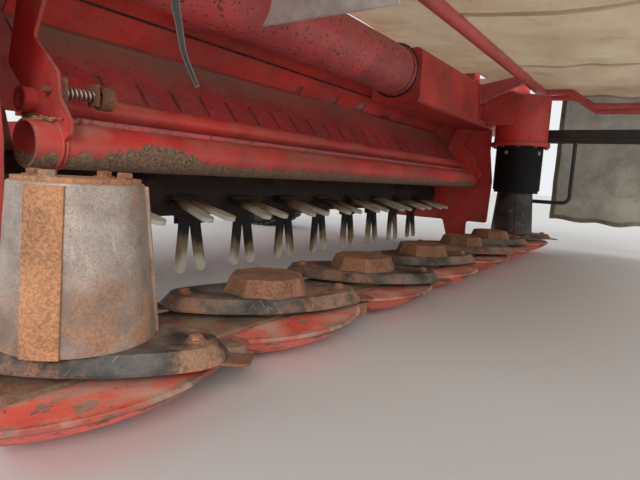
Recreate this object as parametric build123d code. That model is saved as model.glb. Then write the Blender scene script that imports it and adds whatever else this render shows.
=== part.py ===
from build123d import *
import os
from math import atan2, cos, degrees, hypot, radians, sin

# Trailed side-pull disc mower conditioner, about 3 m cut, millimetres.
# +X runs across the machine to its inner, driven end, +Y to the rear, +Z up.
# The origin is on the ground under the middle of the cutterbar.

# Clearances and plate
run_gap = 0.3            # between bodies that turn on or slide in each other
seat_gap = 0.2           # between a tube and the plate hole that holds it
plate_t = 8.0            # side plates, hangers and skid shoes

# Cutting units
disc_count = 7
disc_pitch = 430.0
disc_half_length = 225.0
disc_half_width = 108.0
disc_end_r = 70.0
disc_bottom = 87.0
disc_t = 25.0
disc_rim_t = 4.0
disc_bevel_deg = 42.0
disc_phase = (-56.0, -34.0)      # rest angles of the odd and even discs
hat_r = 95.0
hat_h = 36.0
hat_taper = 21.0
hat_sides = 8
hub_r = 62.0
blade_reach = 262.0
blade_l = 118.0
blade_w = 46.0
blade_t = 4.0
blade_corner = 9.0
drum_top_r = 91.0
drum_bottom_r = 109.0
drum_top = 347.0
drum_strip_w = 52.0
drum_strip_t = 5.0
drum_strips = 3
drum_strip_deg = -146.0
drum_cap_t = 6.0
drum_cap_in = 5.0                # the cap is this much smaller than the drum's top
drum_edge_r = 4.0

# Inner face of each side plate, just past the middle of the end discs
plate_x = disc_pitch * (disc_count - 1) / 2 + 10.0

# Cutterbar and skid shoes
bar_half = plate_x + 120.0
bar_front = -105.0
bar_rear = 140.0
bar_top = 72.0
bar_toe = (70.0, 26.0)           # bevel under the front edge, in Y and Z
bar_brow = (40.0, 22.0)          # bevel on top of it
boss_r = 70.0
boss_top = 84.0
nose_r = 24.0
nose_y = -112.0
nose_bottom = 40.0
nose_top = 68.0
foot_y0 = 272.0                  # where the side plates reach down to the bar's lugs
foot_y1 = 380.0
foot_z0 = 24.0
foot_w = 70.0
skid_w = 380.0
skid_rear = 150.0
skid_bend_y = -20.0              # behind it the sole is flat, before it the shoe curls up
skid_bend_r = 267.0
skid_plan_y = 102.0              # the shoe's front is round about this place
skid_top = 72.0
skid_rim_t = 5.0
skid_lip_y = -80.0

# Side plates, tubes and hood
inner_toe_y = 150.0              # the inner side plate reaches this far forward
outer_toe_y = 215.0
plate_bottom = 150.0
plate_corner = 16.0
rotor_y = 550.0
rotor_z = 300.0
front_tube_y = 250.0
front_tube_z = 398.0
front_tube_r = 44.5
front_tube_wall = 5.0
front_tube_x = (53.0 - plate_x, plate_x - 30.0)
beam_y = 270.0
beam_z = 816.0
beam_r = 97.0
beam_wall = 8.0
beam_end_x = 235.0
band_w = 44.0
band_t = 5.0
hanger_x = (100.0 - plate_x, plate_x - 54.0)
hanger_hole_r = 5.0
hood_t = 4.0
hood_front = (430.0, 730.0)      # in Y and Z
hood_foot = (484.0, 672.0)       # lower edge of the apron in front of the comb
hood_line = ((640.0, 726.0), (820.0, 650.0), (985.0, 520.0))
hood_join = (352.0, 771.0)       # where the hood meets the beam
hood_notches = ((-158.0, 34.0, 26.0), (84.0, 46.0, 26.0), (300.0, 60.0, 30.0), (560.0, 90.0, 20.0))
hood_lug_h = 16.0

# Comb plate on its pivot tube
pivot_y = 315.0
pivot_z = 482.0
pivot_r = 23.4
pivot_bore_r = 17.0
pivot_end = 24.0                 # beyond the outer hanger plate
lever_front = (34.0, 130.0)      # corners of the lever's top from the pivot, in Y and Z
lever_rear = (62.0, 122.0)
comb_top_y = 470.0
comb_top_z = 660.0
comb_t = 6.0
comb_x = (124.0 - plate_x, plate_x - 74.0)
comb_slot_pitch = 100.0
comb_slot_first = 52.0
comb_slot_l = 73.0
comb_slot_w = 11.0
comb_slot_start = 38.0
comb_hole_r = 4.0
latch_y = 250.0
latch_z = 498.0
latch_rod_r = 6.0
latch_reach = 112.0
collar_r = 24.0
collar_bore_r = 14.0
collar_l = 24.0

# Conditioner rotor
rotor_r = 78.0
rotor_half = plate_x - 28.0
rotor_stub_r = 25.0
rotor_stub_over = 30.0           # beyond each side plate's inner face
tine_rows = 5
tines_per_row = 10
tine_pitch = 2 * (rotor_half - 57.0) / tines_per_row
tine_stagger = (0, 2, 4, 1, 3)   # in fifths of the pitch, one for each row
tine_start = 105.0               # angle of the first row from straight up
tine_reach = 262.0
tine_root = 86.0
tine_leg_w = 36.0
tine_leg_t = 12.0
tine_leg_base = 20.0
tine_leg_tip = 42.0
tine_foot_h = 26.0
holder_w = 104.0
holder_cheek_t = 7.0
holder_reach = 104.0

# Gear housing at the inner end
housing_x1 = plate_x + 140.0
housing_y0 = 160.0
housing_y1 = 380.0
housing_z0 = 690.0
housing_z1 = 905.0
head_x1 = plate_x + 390.0
head_y0 = 30.0
neck_r = 140.0
neck_top = 860.0
flange_r = 155.0
flange_t = 20.0
guard_r = 124.0
guard_wall = 6.0
guard_gap = 5.0
guard_top = 592.0
housing_corner = 24.0
window_x = (plate_x - 300.0, plate_x - 170.0)      # recess in the housing's front
window_z = (718.0, 800.0)
window_depth = 22.0
cover_w = 90.0                   # drive cover outside the inner side plate
cover_half = 105.0
cover_top = 640.0
cover_corner = 40.0

# Drawbar, pivot and hitch
tongue_x = plate_x + 260.0
tongue_y = 150.0
tongue_w = 150.0
tongue_h = 150.0
tongue_z = 1125.0
tongue_joint_y = -1850.0         # flanges between the level beam and the tongue
tongue_flange_t = 16.0
tongue_flange_over = 12.0
tongue_knee_y = -1950.0
tongue_toe_y = -2600.0
tongue_toe_z = 480.0
hitch_y = -2900.0
hitch_z = 430.0
hitch_eye_r = 25.0
hitch_ring_r = 55.0
hitch_ring_t = 30.0
pivot_box_r = 110.0
pivot_cap_h = 95.0
swing_deg = -28.0
swing_base = (plate_x - 200.0, 250.0)
swing_lug = (-112.0, -400.0)     # from the drawbar pivot
swing_z = 1125.0
swing_stroke = 175.0
swing_post = (45.0, 35.0)        # half width and half depth
pivot_cap_r = 92.0
line_entry_r = 46.0
line_foot_y = (-500.0, -1500.0)
line_bend = 120.0
line_entry = 120.0               # from the pivot to the guard's rear end
line_toe_lift = 190.0

# Jack
jack_y = -2420.0
jack_r = 36.0
jack_leg_r = 28.0
jack_bottom = 325.0
jack_top = 880.0
jack_leg_top = 500.0
jack_foot = 200.0
jack_foot_t = 10.0
jack_foot_corner = 16.0
crank_r = 8.0
crank_lift = 42.0
crank_arm = 105.0
crank_grip = 90.0

# Driveline
line_r = 42.0
line_lift = 135.0                # above the drawbar's centre line
stub_r = 17.4
stub_l = 90.0

# Rear frame, axle and wheels
rail_inset = 540.0               # from each side plate
rail_x = plate_x - rail_inset
rail_w = 80.0
ear_lap = 30.0                   # the bearing ears lie on the cross beam
ear_rise = (60.0, 70.0)
rail_z0 = 740.0
rail_z1 = 820.0
cross_y0 = 1060.0
cross_y1 = 1160.0
cross_z0 = 660.0
cross_z1 = 745.0
axle_y = 1250.0
axle_z = 640.0
axle_tube_r = 40.0
bearing_x = plate_x - 120.0
bearing_w = 24.0
arm_x0 = plate_x + 18.0
arm_x1 = arm_x0 + 40.0
wheel_x = plate_x - 180.0
wheel_y = 1700.0
wheel_r = 380.0
wheel_w = 264.0
rim_r = 198.0
stub_axle_r = 30.0
lift_deg = -30.0
crank_x = rail_x + 100.0
crank_w = 30.0
crank_pin = (-20.0, 149.0)       # from the axle pivot in Y and Z
lift_base = (640.0, 800.0)

# Hydraulic cylinders
cyl_r = 35.0
cyl_rod_r = 18.0
cyl_pin_r = 14.0
cyl_eye_r = 30.0
cyl_eye_w = 40.0
cyl_gland_l = 40.0
cyl_gland_over = 5.0
cyl_eye_slack = 6.0              # at the rod's eye, where the linkage is opened

# Canopy
roof_over = (400.0, 430.0)       # past the right and the left side plate
roof_x0 = -plate_x - roof_over[0]
roof_x1 = plate_x + roof_over[1]
roof_y0 = -925.0
roof_y1 = 330.0
roof_rear_z = 961.0
roof_drop = 39.0
roof_hole_gap = 30.0             # round the drawbar pivot and the swing cylinder's post
roof_t = 10.0
canopy_tube_r = 24.0
rail_tube_r = 17.0
arm_tube_r = 16.0
cross_tube_y = -40.0
front_rail_y = -900.0
arm_insets = (17.0, 800.0, 230.0, 25.0)   # two from each end of the roof
arm_xs = (roof_x0 + arm_insets[0], roof_x0 + arm_insets[1],
          roof_x1 - arm_insets[2], roof_x1 - arm_insets[3])
arm_knee_z = 838.0
arm_front_z = 826.0
curtain_x = roof_x1 - 8.0
curtain_t = 8.0
curtain_bottom = 175.0
curtain_y1 = -120.0
roll_r = 42.0
roll_rear_y = -300.0
web_x = 150.0 - plate_x          # roof webs on the beam and on the gear housing
web_t = 10.0
end_web_x = plate_x - 290.0
shield_x = -679.0                # wide web of zinc-coated plate
shield_front_y = -184.0
shield_bottom = 745.0
loop_y = -740.0                  # inner guard loop
loop_z = 650.0
loop_r = 13.0
loop_post_y = -250.0
loop_post_z = 292.0
loop_post_end = -40.0
loop_post_r = 11.0

# Front guard, raised
guard_hinge_y = -950.0
guard_hinge_z = 905.0
guard_hinge_r = 12.0
front_guard_l = 610.0
front_guard_x0 = roof_x0 + 50.0
front_guard_x1 = roof_x1 - 30.0
front_guard_r = 13.0
guard_bar_xs = (-560.0, 560.0)
hinge_lug_xs = (roof_x0 + 200.0, -500.0, 500.0, roof_x1 - 330.0)
hinge_lug_w = 20.0
hinge_lug_r = 24.0
guard_cloth_t = 6.0

# Swath doors
door_inset = 400.0               # from each side plate
door_x = plate_x - door_inset
door_y = 985.0
door_z0 = 150.0
door_z1 = 490.0
door_l = 470.0
door_t = 4.0
door_pin_r = 8.0
door_sleeve_r = 15.0
door_corner = 60.0

parts = {}


def block(x0, x1, y0, y1, z0, z1):
    centre = Pos((x0 + x1) / 2, (y0 + y1) / 2, (z0 + z1) / 2)
    return centre * Box(x1 - x0, y1 - y0, z1 - z0)


def rod_x(x0, x1, y, z, r):
    return Pos((x0 + x1) / 2, y, z) * Rot(0, 90, 0) * Cylinder(r, x1 - x0)


def rod_y(x, y0, y1, z, r):
    return Pos(x, (y0 + y1) / 2, z) * Rot(90, 0, 0) * Cylinder(r, y1 - y0)


def rod_z(x, y, z0, z1, r):
    return Pos(x, y, (z0 + z1) / 2) * Cylinder(r, z1 - z0)


def side_shape(points, x0, x1, corner=0.0):
    """Outline of (Y, Z) points, as thick as x0 to x1."""
    face = make_face(Polyline(*points, close=True))
    if corner:
        face = fillet(face.vertices(), corner)
    return Plane.YZ.offset(x0) * extrude(face, amount=x1 - x0)


def bent_tube(points, r, bend):
    """Round tube through the points, with its corners bent."""
    path = FilletPolyline(*points, radius=bend) if len(points) > 2 else Line(*points)
    start = Plane(origin=path @ 0, z_dir=path % 0)
    return sweep(start * Circle(r), path=path)


def both(shape):
    """The piece and its mirror at the other end of the machine."""
    return [shape, mirror(shape, about=Plane.YZ)]


def disc_x(number):
    return (number - 1 - (disc_count - 1) / 2) * disc_pitch


# Cutterbar: one flat gear trough, a bearing boss for each disc and a nose between each two
def cutter_bar():
    trough = side_shape(
        [*bar_nose(bar_front), (bar_front + bar_brow[0], bar_top), (bar_rear - 20, bar_top),
         (bar_rear, bar_top - 14), (bar_rear, plate_t + 16), (bar_rear - 16, plate_t)],
        -bar_half, bar_half)
    bosses = [rod_z(disc_x(n), 0, bar_top - 6, boss_top, boss_r) for n in range(1, disc_count + 1)]
    noses = []
    for n in range(1, disc_count):
        x = disc_x(n) + disc_pitch / 2
        nose = rod_z(x, nose_y, nose_bottom, nose_top, nose_r)
        nose += block(x - nose_r, x + nose_r, nose_y, bar_front + 50, nose_bottom, nose_top)
        noses.append(chamfer(nose.faces().sort_by(Axis.Z)[-1].edges(), 6))
    lug = block(plate_x - foot_w, plate_x, bar_rear - 10, foot_y1 - 8, foot_z0, bar_top - 14)
    return trough + bosses + noses + both(lug)


def bar_nose(front):
    """Front edge of the bar from its sole up to its brow, in Y and Z."""
    return [(bar_front + bar_toe[0], plate_t), (front, plate_t + bar_toe[1]), (front, bar_top - bar_brow[1])]


# Skid shoe: flat sole, with a round front that curls up before the bar and a lip on top of it
def skid_shoe(x):
    flat = skid_plan_y - skid_bend_y
    rim_z = skid_top - skid_rim_t
    rim_run = curl_run(rim_z)
    mid_run = curl_run(rim_z / 4)
    rim_r = flat + rim_run
    bow = Plane.XZ * make_face([Line((0, 0), (flat, 0)),
                                ThreePointArc((flat, 0), (flat + mid_run, rim_z / 4), (rim_r, rim_z)),
                                Line((rim_r, rim_z), (rim_r - skid_rim_t, skid_top)),
                                Line((rim_r - skid_rim_t, skid_top), (0, skid_top)),
                                Line((0, skid_top), (0, 0))])
    saucer = Pos(0, skid_plan_y, 0) * revolve(bow, axis=Axis.Z)
    front = skid_plan_y - skid_plan_r() - 1
    shoe = saucer & block(-skid_w / 2, skid_w / 2, front, skid_plan_y, -1, skid_top)
    shoe += block(-skid_w / 2, skid_w / 2, skid_bend_y, skid_rear, 0, plate_t)
    lip_z = bar_top - bar_brow[1] + (skid_lip_y - bar_front) * bar_brow[1] / bar_brow[0]
    bar_room = side_shape(
        [*bar_nose(bar_front - seat_gap), (skid_lip_y, lip_z + seat_gap), (skid_lip_y, skid_top + 1),
         (skid_rear + 1, skid_top + 1), (skid_rear + 1, plate_t)], -skid_w, skid_w)
    return Pos(x, 0, 0) * (shoe - bar_room)


def curl_run(height):
    """How far the curl has run forward where it has risen to this height."""
    return (skid_bend_r ** 2 - (skid_bend_r - height) ** 2) ** 0.5


def skid_plan_r():
    return skid_plan_y - skid_bend_y + curl_run(skid_top - skid_rim_t)


# Disc: oval plate with a bevelled rim on its hub
def oval(length, width, end_r):
    side_r = ((length - end_r) ** 2 + width ** 2 - end_r ** 2) / (2 * (width - end_r))
    lean = atan2(side_r - width, length - end_r)
    tx, ty = length - end_r + end_r * cos(lean), end_r * sin(lean)
    arcs = [ThreePointArc((tx, -ty), (length, 0), (tx, ty)),
            ThreePointArc((tx, ty), (0, width), (-tx, ty)),
            ThreePointArc((-tx, ty), (-length, 0), (-tx, -ty)),
            ThreePointArc((-tx, -ty), (0, -width), (tx, -ty))]
    return make_face(arcs)


def disc(number):
    outline = oval(disc_half_length, disc_half_width, disc_end_r)
    plate = Pos(0, 0, disc_bottom) * extrude(outline, amount=disc_rim_t)
    bevel = extrude(outline, amount=disc_t - disc_rim_t, taper=disc_bevel_deg)
    plate += Pos(0, 0, disc_bottom + disc_rim_t) * bevel
    plate += rod_z(0, 0, boss_top + run_gap, disc_bottom + 1, hub_r)
    if number not in (1, disc_count):
        hat = extrude(RegularPolygon(hat_r, hat_sides), amount=hat_h, taper=hat_taper)
        plate += Pos(0, 0, disc_bottom + disc_t) * hat
    turn = disc_phase[(number - 1) % 2]
    return Pos(disc_x(number), 0, 0) * Rot(0, 0, turn) * plate


def blades(number):
    blade = block(blade_reach - blade_l, blade_reach, -blade_w / 2, blade_w / 2,
                  disc_bottom - blade_t, disc_bottom)
    blade = fillet(blade.edges().filter_by(Axis.Z), blade_corner)
    pair = [blade, Rot(0, 0, 180) * blade]
    turn = disc_phase[(number - 1) % 2]
    return Pos(disc_x(number), 0, 0) * Rot(0, 0, turn) * Compound(children=pair)


# End drum: tapered drum with wear strips and a cap plate
def drum(number):
    z0 = disc_bottom + disc_t
    z1 = drum_top - drum_cap_t
    height = z1 - z0
    body = Pos(0, 0, z0 + height / 2) * Cone(drum_bottom_r, drum_top_r, height)
    body = fillet(body.edges().group_by(Axis.Z)[-1], drum_edge_r)
    body += rod_z(0, 0, z1, drum_top, drum_top_r - drum_cap_in)
    shell = Pos(0, 0, z0 + height / 2) * Cone(
        drum_bottom_r + drum_strip_t, drum_top_r + drum_strip_t, height)
    strip = block(0, drum_bottom_r + 20, -drum_strip_w / 2, drum_strip_w / 2, z0, z1 - drum_edge_r)
    for k in range(drum_strips):
        body += shell & (Rot(0, 0, 360 / drum_strips * k) * strip)
    return Pos(disc_x(number), 0, 0) * Rot(0, 0, drum_strip_deg) * body


# Side plate: carries the beam, the rotor and the rear cross beam
def side_plate(inner):
    toe_y = inner_toe_y if inner else outer_toe_y
    top_z = beam_z + beam_r + 12
    shelf_z = rail_z0 + 50
    outline = [(toe_y, plate_bottom), (foot_y0, plate_bottom), (foot_y0, foot_z0), (foot_y1, foot_z0),
               (foot_y1 + 40, plate_bottom), (door_y - 205, plate_bottom), (door_y - 85, door_z0 + 90),
               (door_y - 25, door_z1 + 30), (cross_y1, cross_z0), (cross_y1, cross_z1),
               (door_y - 85, shelf_z), (beam_y + 160, shelf_z), (beam_y + 130, top_z), (beam_y - 120, top_z),
               (beam_y - 105, housing_z0 + 70), (toe_y + 15, front_tube_z + 170), (toe_y - 10, front_tube_z)]
    x0, x1 = (plate_x, plate_x + plate_t) if inner else (-plate_x - plate_t, -plate_x)
    plate = side_shape(outline, x0, x1, plate_corner)
    plate -= rod_x(x0 - 1, x1 + 1, rotor_y, rotor_z, rotor_stub_r + run_gap)
    if inner:
        plate -= block(x0 - 1, x1 + 1, 0, housing_y1, housing_z0, housing_z1)
    return plate


def main_beam():
    tube = rod_x(-plate_x, beam_end_x, beam_y, beam_z, beam_r)
    tube += rod_x(beam_end_x - band_w, beam_end_x, beam_y, beam_z, beam_r + band_t)
    return tube - rod_x(-plate_x - 1, beam_end_x - beam_wall, beam_y, beam_z, beam_r - beam_wall)


def front_tube():
    x0, x1 = front_tube_x
    tube = rod_x(x0, x1, front_tube_y, front_tube_z, front_tube_r)
    return tube - rod_x(x0 - 1, x1 + 1, front_tube_y, front_tube_z, front_tube_r - front_tube_wall)


def hanger_plates():
    top_z = beam_z - 46
    outline = [(beam_y - 65, top_z), (beam_y + 65, top_z), (pivot_y + 95, pivot_z + 78),
               (pivot_y + 37, pivot_z + 23), (pivot_y + 27, pivot_z - 12), (pivot_y - 15, pivot_z - 42),
               (front_tube_y + 5, front_tube_z + 4), (front_tube_y - 40, front_tube_z + 4),
               (front_tube_y - 62, front_tube_z + 16), (front_tube_y - 66, front_tube_z + 42),
               (latch_y - 28, latch_z - 14), (latch_y - 22, latch_z + 32), (latch_y + 60, latch_z + 102)]
    plates = []
    for x in hanger_x:
        plate = side_shape(outline, x, x + plate_t, 10)
        plate -= rod_x(x - 1, x + plate_t + 1, front_tube_y - 42, front_tube_z + 42, hanger_hole_r)
        plate -= rod_x(x - 1, x + plate_t + 1, front_tube_y, front_tube_z, front_tube_r + seat_gap)
        plate -= rod_x(x - 1, x + plate_t + 1, pivot_y, pivot_z, pivot_r + run_gap)
        plate -= rod_x(x - 1, x + plate_t + 1, beam_y, beam_z, beam_r + seat_gap)
        plate -= rod_x(x - 1, x + plate_t + 1, latch_y, latch_z, latch_rod_r + seat_gap)
        if x > 0:
            plate -= block(x - 1, x + plate_t + 1, housing_y0, housing_y1, housing_z0, housing_z1)
        plates.append(plate)
    return Compound(children=plates)


def comb_plate():
    rise = comb_top_z - pivot_z
    run = comb_top_y - pivot_y
    length = hypot(run, rise)
    lean = degrees(atan2(rise, run))
    x0, x1 = comb_x
    sheet = block(x0, x1, pivot_r - 2, length, -comb_t / 2, comb_t / 2)
    count = int((x1 - x0 - comb_slot_first) / comb_slot_pitch) + 1
    slot = extrude(SlotOverall(comb_slot_l, comb_slot_w, rotation=90), amount=comb_t, both=True)
    slots = [Pos(x0 + comb_slot_first + comb_slot_pitch * i, comb_slot_start + comb_slot_l / 2, 0) * slot
             for i in range(count)]
    sheet -= slots
    sheet -= rod_z(x0 + comb_slot_first / 2, length - 3 * comb_hole_r, -comb_t, comb_t, comb_hole_r)
    sheet = Pos(0, pivot_y, pivot_z) * Rot(lean, 0, 0) * sheet
    return sheet - rod_x(x0 - 1, x1 + 1, pivot_y, pivot_z, pivot_r)


def comb_pivot():
    x0 = hanger_x[0] - pivot_end
    tube = rod_x(x0, hanger_x[1] + plate_t + pivot_end, pivot_y, pivot_z, pivot_r)
    tube -= rod_x(x0 - 1, x0 + pivot_end, pivot_y, pivot_z, pivot_bore_r)
    x1 = hanger_x[1] + plate_t
    lever = side_shape([(pivot_y - 18, pivot_z), (pivot_y + 18, pivot_z),
                        (pivot_y + lever_rear[0], pivot_z + lever_rear[1]),
                        (pivot_y + lever_front[0], pivot_z + lever_front[1])], x1 + 6, x1 + 6 + plate_t, 8)
    return tube + lever


# Hood: apron before the comb, cover over the rotor and a joint plate up to the beam
def hood():
    front_y, front_z = hood_front
    foot_y, foot_z = hood_foot
    upper = [(front_y, front_z + 2)] + list(hood_line)
    lower = [(y - 2, z - hood_t) for y, z in reversed(upper)]
    sheet = side_shape(upper + lower, -plate_x, plate_x)
    x0, x1 = comb_x
    apron = side_shape([(front_y, front_z), (foot_y, foot_z), (foot_y + hood_t, foot_z + hood_t),
                        (front_y + hood_t + 2, front_z + 1)], x0, x1)
    for x, width, height in hood_notches:
        apron -= block(x - width / 2, x + width / 2, front_y, foot_y + 10, foot_z - 1, foot_z + height)
    join_y, join_z = hood_join
    join = side_shape([(join_y, join_z), (front_y, front_z - 2), (front_y, front_z + 2),
                       (join_y + 2, join_z + hood_t)], -plate_x, plate_x)
    join -= rod_x(-plate_x - 1, plate_x + 1, beam_y, beam_z, beam_r + seat_gap)
    join -= block(beam_end_x - band_w, plate_x + 1, 0, housing_y1 + seat_gap, housing_z0, housing_z1)
    rail_half = rail_w / 2 + seat_gap
    for x in (-rail_x, rail_x):
        join -= block(x - rail_half, x + rail_half, 0, cross_y0, rail_z0 - seat_gap, rail_z1)
    lugs = []
    for side in (-1, 1):
        x = side * door_x
        lug = block(x - 20, x + 20, door_y - 22, door_y + 18, door_z1 + 15, door_z1 + 15 + hood_lug_h)
        pin = rod_z(x, door_y, door_z0 + 40, door_z1 + 16, door_pin_r)
        lugs += [lug, pin]
    return sheet + apron + join + lugs


def rotor_tube():
    tube = rod_x(-rotor_half, rotor_half, 0, 0, rotor_r)
    stub = plate_x + rotor_stub_over
    tube += rod_x(-stub, stub, 0, 0, rotor_stub_r)
    gap = tine_leg_t / 2 + seat_gap
    holder = block(-holder_w / 2, holder_w / 2, gap, gap + holder_cheek_t, rotor_r - 8, holder_reach)
    holder += block(-holder_w / 2, holder_w / 2, -gap - holder_cheek_t, -gap, rotor_r - 8, holder_reach)
    holder += block(-holder_w / 2, holder_w / 2, -gap - 1, gap + 1, rotor_r - 8, tine_root)
    holders = [Pos(x, 0, 0) * Rot(angle, 0, 0) * holder for x, angle in tine_places()]
    return Pos(0, rotor_y, rotor_z) * (tube + holders)


def tine_places():
    places = []
    for row in range(tine_rows):
        first = -(tines_per_row - 1) * tine_pitch / 2 - 0.4 * tine_pitch
        first += tine_stagger[row] * tine_pitch / tine_rows
        for i in range(tines_per_row):
            places.append((first + i * tine_pitch, row_angle(row)))
    return places


def row_angle(row):
    """Angle from straight up, forward and down."""
    return tine_start + row * 360 / tine_rows


def tine():
    tip = tine_reach - tine_leg_w / 2
    legs = []
    for side in (-1, 1):
        lean = degrees(atan2(tine_leg_tip - tine_leg_base, tip - tine_root))
        length = hypot(tine_leg_tip - tine_leg_base, tip - tine_root)
        leg = SlotCenterToCenter(length, tine_leg_w, rotation=90 - side * lean)
        mid = Pos(side * (tine_leg_tip + tine_leg_base) / 2, (tip + tine_root) / 2)
        legs.append(mid * leg)
    foot_w = 2 * tine_leg_base + tine_leg_w + 8
    face = legs[0] + legs[1] + Pos(0, tine_root + tine_foot_h / 2) * Rectangle(foot_w, tine_foot_h)
    trim = Pos(0, tine_root - tine_leg_w) * Rectangle(2 * foot_w, 2 * tine_leg_w)
    solid = extrude(face - trim, amount=tine_leg_t / 2, both=True)
    return Rot(90, 0, 0) * solid


def tines():
    one = tine()
    all_tines = [Pos(x, rotor_y, rotor_z) * Rot(angle, 0, 0) * one for x, angle in tine_places()]
    return Compound(children=all_tines)


def gear_housing():
    box = block(beam_end_x, housing_x1, housing_y0, housing_y1, housing_z0, housing_z1)
    box = fillet(box.edges().filter_by(Axis.X), housing_corner)
    head = block(housing_x1 - 20, head_x1, head_y0, housing_y1, housing_z0, housing_z1)
    box += fillet(head.edges().filter_by(Axis.Z), housing_corner)
    last = disc_x(disc_count)
    neck = rod_z(last, 0, guard_top + flange_t, neck_top, neck_r)
    neck += block(last - neck_r, last + neck_r, 0, housing_y0 + 20, housing_z0 + 10, neck_top)
    box += neck
    box += rod_z(last, 0, guard_top, guard_top + flange_t, flange_r)
    box -= block(*window_x, housing_y0 - 1, housing_y0 + window_depth, *window_z)
    base_x, base_y = swing_base
    half_x, half_y = swing_post
    post_top = swing_z - cyl_r - 12
    post = block(base_x - half_x, base_x + half_x, base_y - half_y, base_y + half_y, housing_z1 - 1, post_top)
    post += rod_z(base_x, base_y, post_top - 1, swing_z + cyl_eye_w / 2 + 6, cyl_pin_r)
    post += rod_z(base_x, base_y, post_top - 1, swing_z - cyl_eye_w / 2 - run_gap, cyl_pin_r + 6)
    return box + post


def pivot_lower():
    column = rod_z(tongue_x, tongue_y, housing_z1, tongue_z - tongue_h / 2 - run_gap, pivot_box_r)
    return column + rod_z(tongue_x, tongue_y, housing_z1, housing_z1 + 22, pivot_box_r + 18)


def drum_guard():
    x = disc_x(disc_count)
    tube = rod_z(x, 0, drum_top + guard_gap, guard_top, guard_r)
    return tube - rod_z(x, 0, drum_top, guard_top - guard_wall, guard_r - guard_wall)


def drive_cover():
    x0 = plate_x + plate_t
    outline = [(rotor_y - cover_half, rotor_z + 20), (rotor_y - cover_half / 2, rotor_z - cover_half + 15),
               (rotor_y + cover_half / 2, rotor_z - cover_half + 15), (rotor_y + cover_half, rotor_z + 20),
               (rotor_y + cover_half - 35, cover_top), (rotor_y - cover_half - 15, cover_top)]
    cover = side_shape(outline, x0, x0 + cover_w, cover_corner)
    cover = chamfer(cover.faces().sort_by(Axis.X)[-1].edges(), 10)
    return cover - rod_x(x0 - 1, x0 + rotor_stub_over + 10, rotor_y, rotor_z, rotor_stub_r + 12)


# Rear frame: two rails from the beam to the cross beam, axle bearings and cylinder pins
def rear_frame():
    frame = block(-plate_x, plate_x, cross_y0, cross_y1, cross_z0, cross_z1)
    rail = block(rail_x - rail_w / 2, rail_x + rail_w / 2, beam_y, cross_y0 + 40, rail_z0, rail_z1)
    frame += block(rail_x - rail_w / 2, rail_x + rail_w / 2, housing_y1, cross_y0 + 40, rail_z0, rail_z1)
    frame += mirror(rail, about=Plane.YZ) - rod_x(-rail_x - 60, -rail_x + 60, beam_y, beam_z, beam_r)
    outline = [(cross_y0 + ear_lap, cross_z0 + ear_rise[0]), (cross_y1, cross_z0 + ear_rise[1]),
               (axle_y + 58, axle_z + 20), (axle_y + 40, axle_z - 58), (axle_y - 50, axle_z - 50),
               (cross_y0 + ear_lap, cross_z0 - 10)]
    ear = side_shape(outline, bearing_x - bearing_w / 2, bearing_x + bearing_w / 2, 15)
    ear -= rod_x(bearing_x - 40, bearing_x + 40, axle_y, axle_z, axle_tube_r + run_gap)
    frame += both(ear)
    base_y, base_z = lift_base
    half = rail_w / 2
    post = block(rail_x - half, rail_x + half, base_y - 40, base_y + 40, rail_z1 - 1, base_z + 30)
    post += rod_x(rail_x + half - 1, crank_x + cyl_eye_w / 2 + 6, base_y, base_z, cyl_pin_r)
    return frame + both(post)


def axle_frame():
    tube = rod_x(-arm_x0, arm_x0, axle_y, axle_z, axle_tube_r)
    reach_y, reach_z = wheel_y - axle_y, wheel_r - axle_z
    length = hypot(reach_y, reach_z)
    lean = degrees(atan2(reach_z, reach_y))
    bar = SlotCenterToCenter(length, 110, rotation=lean)
    arm = Plane.YZ.offset(arm_x0) * (Pos((axle_y + wheel_y) / 2, (axle_z + wheel_r) / 2) *
                                    extrude(bar, amount=arm_x1 - arm_x0))
    stub = rod_x(wheel_x - 90, arm_x0 + 1, wheel_y, wheel_r, stub_axle_r)
    pin_y, pin_z = axle_y + crank_pin[0], axle_z + crank_pin[1]
    side = crank_x + cyl_eye_w / 2 + 4
    lean = degrees(atan2(crank_pin[1], crank_pin[0]))
    crank_l = hypot(*crank_pin)
    bar = SlotCenterToCenter(crank_l, 64, rotation=lean)
    crank = Plane.YZ.offset(side) * (Pos((axle_y + pin_y) / 2, (axle_z + pin_z) / 2) *
                                     extrude(bar, amount=crank_w))
    crank += rod_x(crank_x - cyl_eye_w / 2 - 2, side + 1, pin_y, pin_z, cyl_pin_r)
    return tube + both(arm + stub) + both(crank)


def tyre(x):
    half = wheel_w / 2
    upper = [(rim_r, half * 0.72), (rim_r + 40, half * 0.9), (rim_r + 95, half),
             (wheel_r - 45, half * 0.95), (wheel_r - 8, half * 0.7), (wheel_r, half * 0.4)]
    section = [(r, -z) for r, z in upper] + upper[::-1]
    ring = revolve(Plane.XZ * make_face(Polyline(*section, close=True)), axis=Axis.Z)
    return Pos(x, wheel_y, wheel_r) * Rot(0, 90, 0) * ring


def rim(x):
    half = wheel_w / 2 * 0.72
    section = [(stub_axle_r + run_gap, -half * 0.55), (62, -half * 0.55), (62, -6), (rim_r - 30, -6),
               (rim_r - 18, -half), (rim_r, -half), (rim_r, half), (rim_r - 18, half), (rim_r - 26, 6),
               (62, 6), (62, half * 0.4), (stub_axle_r + run_gap, half * 0.4)]
    wheel = revolve(Plane.XZ * make_face(Polyline(*section, close=True)), axis=Axis.Z)
    return Pos(x, wheel_y, wheel_r) * Rot(0, 90 if x < 0 else -90, 0) * wheel


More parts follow.
